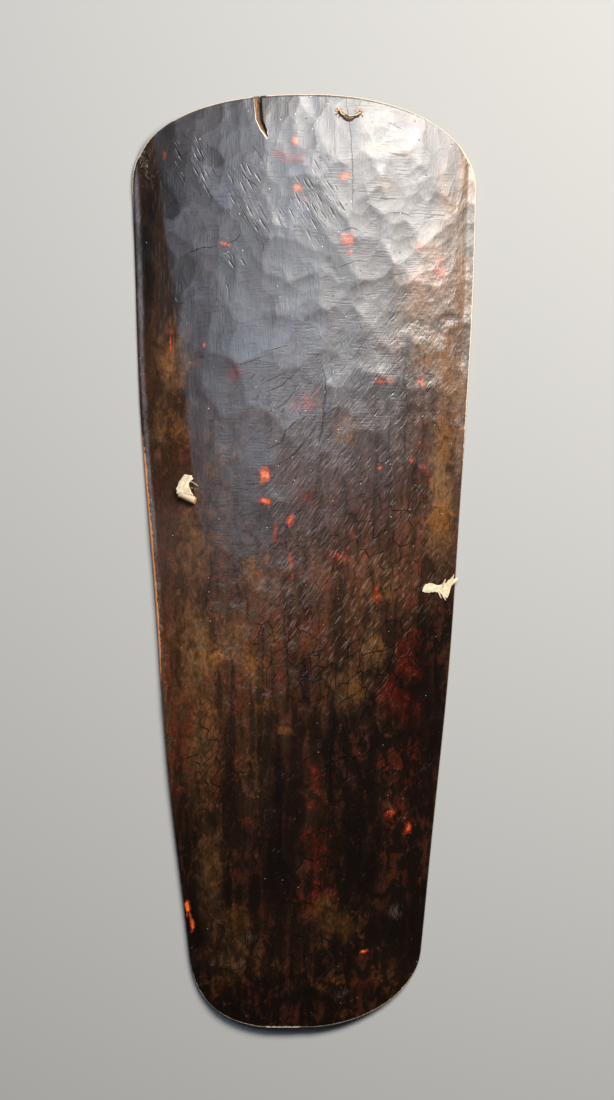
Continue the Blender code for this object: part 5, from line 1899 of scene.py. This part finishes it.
def rolled_end(frame_at):
    """The strap's tip, rolled up on itself, its last turn open at the thick end."""
    pick_nothing()
    bpy.ops.mesh.primitive_grid_add(x_subdivisions=ROLL_CELLS[0],
                                    y_subdivisions=ROLL_CELLS[1], size=2.0)
    roll = named("left_roll")
    flat = points_of(roll)
    turn = (flat[:, 0] + 1.0) / 2.0
    along = (flat[:, 1] + 1.0) / 2.0
    middle = between_stations(ROLL_LINE, along)
    radius = np.interp(along, np.linspace(0.0, 1.0, len(ROLL_RADII)), ROLL_RADII)
    way = np.array(ROLL_LINE[-1]) - np.array(ROLL_LINE[0])
    way /= np.linalg.norm(way)
    side = np.cross((0.0, 0.0, 1.0), way)
    side /= np.linalg.norm(side)
    up = np.cross(way, side)
    tight = ROLL_CORE + (1.0 - ROLL_CORE) * turn
    angle = 2.0 * math.pi * ROLL_TURNS * turn + ROLL_START
    wrinkle = 1.0 + 0.05 * cloud(turn * 0.06, along * 0.02, (0.006, 0.006), ROLL_SEEDS[0], 2)
    reach = radius * tight * wrinkle
    points = middle + side * (reach * np.cos(angle))[:, None]
    points = points + up * (reach * np.sin(angle))[:, None]
    ragged = cloud(turn * 0.05, along * 0.0, (0.006, 1.0), ROLL_SEEDS[1], 2)
    points += way * (0.0011 * ragged * (2.0 * along - 1.0))[:, None]
    points[:, 2] = np.maximum(points[:, 2], 0.0004)
    place_points(roll, points, frame_at)
    girth = 2.0 * math.pi * ROLL_TURNS * ROLL_MEAN_RADIUS
    lay_map(roll, np.stack([turn * girth, along * ROLL_LENGTH], axis=1))
    # Painted shade: the roll's underside and inner turns are painted darker rust tan.
    below = np.clip(0.5 - (points[:, 2] - middle[:, 2]) / (2.0 * radius), 0.0, 1.0)
    paint(roll, "stain_and_shade", 0.42 + 0.50 * below + 0.35 * (1.0 - turn))
    thicken(roll, STRIP_THICKNESS * 0.8)
    return roll


def make_left_knot(bast):
    """The strap's left end: a folded strip, its tip rolled up, and a loose thread."""
    frame_at = surface_frame(LEFT_HOLE, plain_front_height)
    flap = strip_of_bast("left_flap", LEFT_FLAP, frame_at, 60, (12, 60), stain_and_shade=0.05)
    roll = rolled_end(frame_at)
    route = [frame_at @ place for place in smooth_route(LEFT_THREAD, False, [6, 6, 6])]
    thread = make_strand("left_thread", route, THREAD_RADIUS, 0.0, 0, 0.5, 6, False)
    paint(thread, "stain_and_shade", np.full(len(thread.data.vertices), 0.1))
    knot = join([flap, roll, thread], "knot_left_folded")
    knot.data.materials.append(bast)
    return knot


def make_right_knot(bast):
    """The strap's right end: a flat strip, creased and forked past the board's edge."""
    frame_at = surface_frame(RIGHT_HOLE, plain_front_height)
    pieces = [strip_of_bast("right_strip", RIGHT_STRIP, frame_at, 70, (12, 64), 0.0004, 0.08),
              strip_of_bast("right_prong", RIGHT_PRONG, frame_at, 74, (6, 24), 0.0003, 0.08),
              strip_of_bast("right_tuft", RIGHT_TUFT, frame_at, 78, (5, 18), 0.0002, 0.55)]
    for number, stations in enumerate(RIGHT_BITS):
        pieces.append(strip_of_bast(f"right_bit_{number}", stations, frame_at, 82 + 4 * number,
                                    (4, 16), 0.0002, 0.5))
    knot = join(pieces, "knot_right_forked")
    knot.data.materials.append(bast)
    return knot


def tie_strap():
    """The strap and its two knots, put in place of their parts."""
    bast = pale_bast()
    strap, path = make_strap(bast)
    knots = [make_left_knot(bast), make_right_knot(bast)]
    for piece, node in zip([strap, *knots], ["strap", "knot_left", "knot_right"]):
        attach(piece, "root")
        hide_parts(node)


def build():
    """Makes the whole scene."""
    set_camera()
    set_lights()
    lay_floor()
    tie_strap()
    make_board()
    make_stitch(dark_fibre())


build()
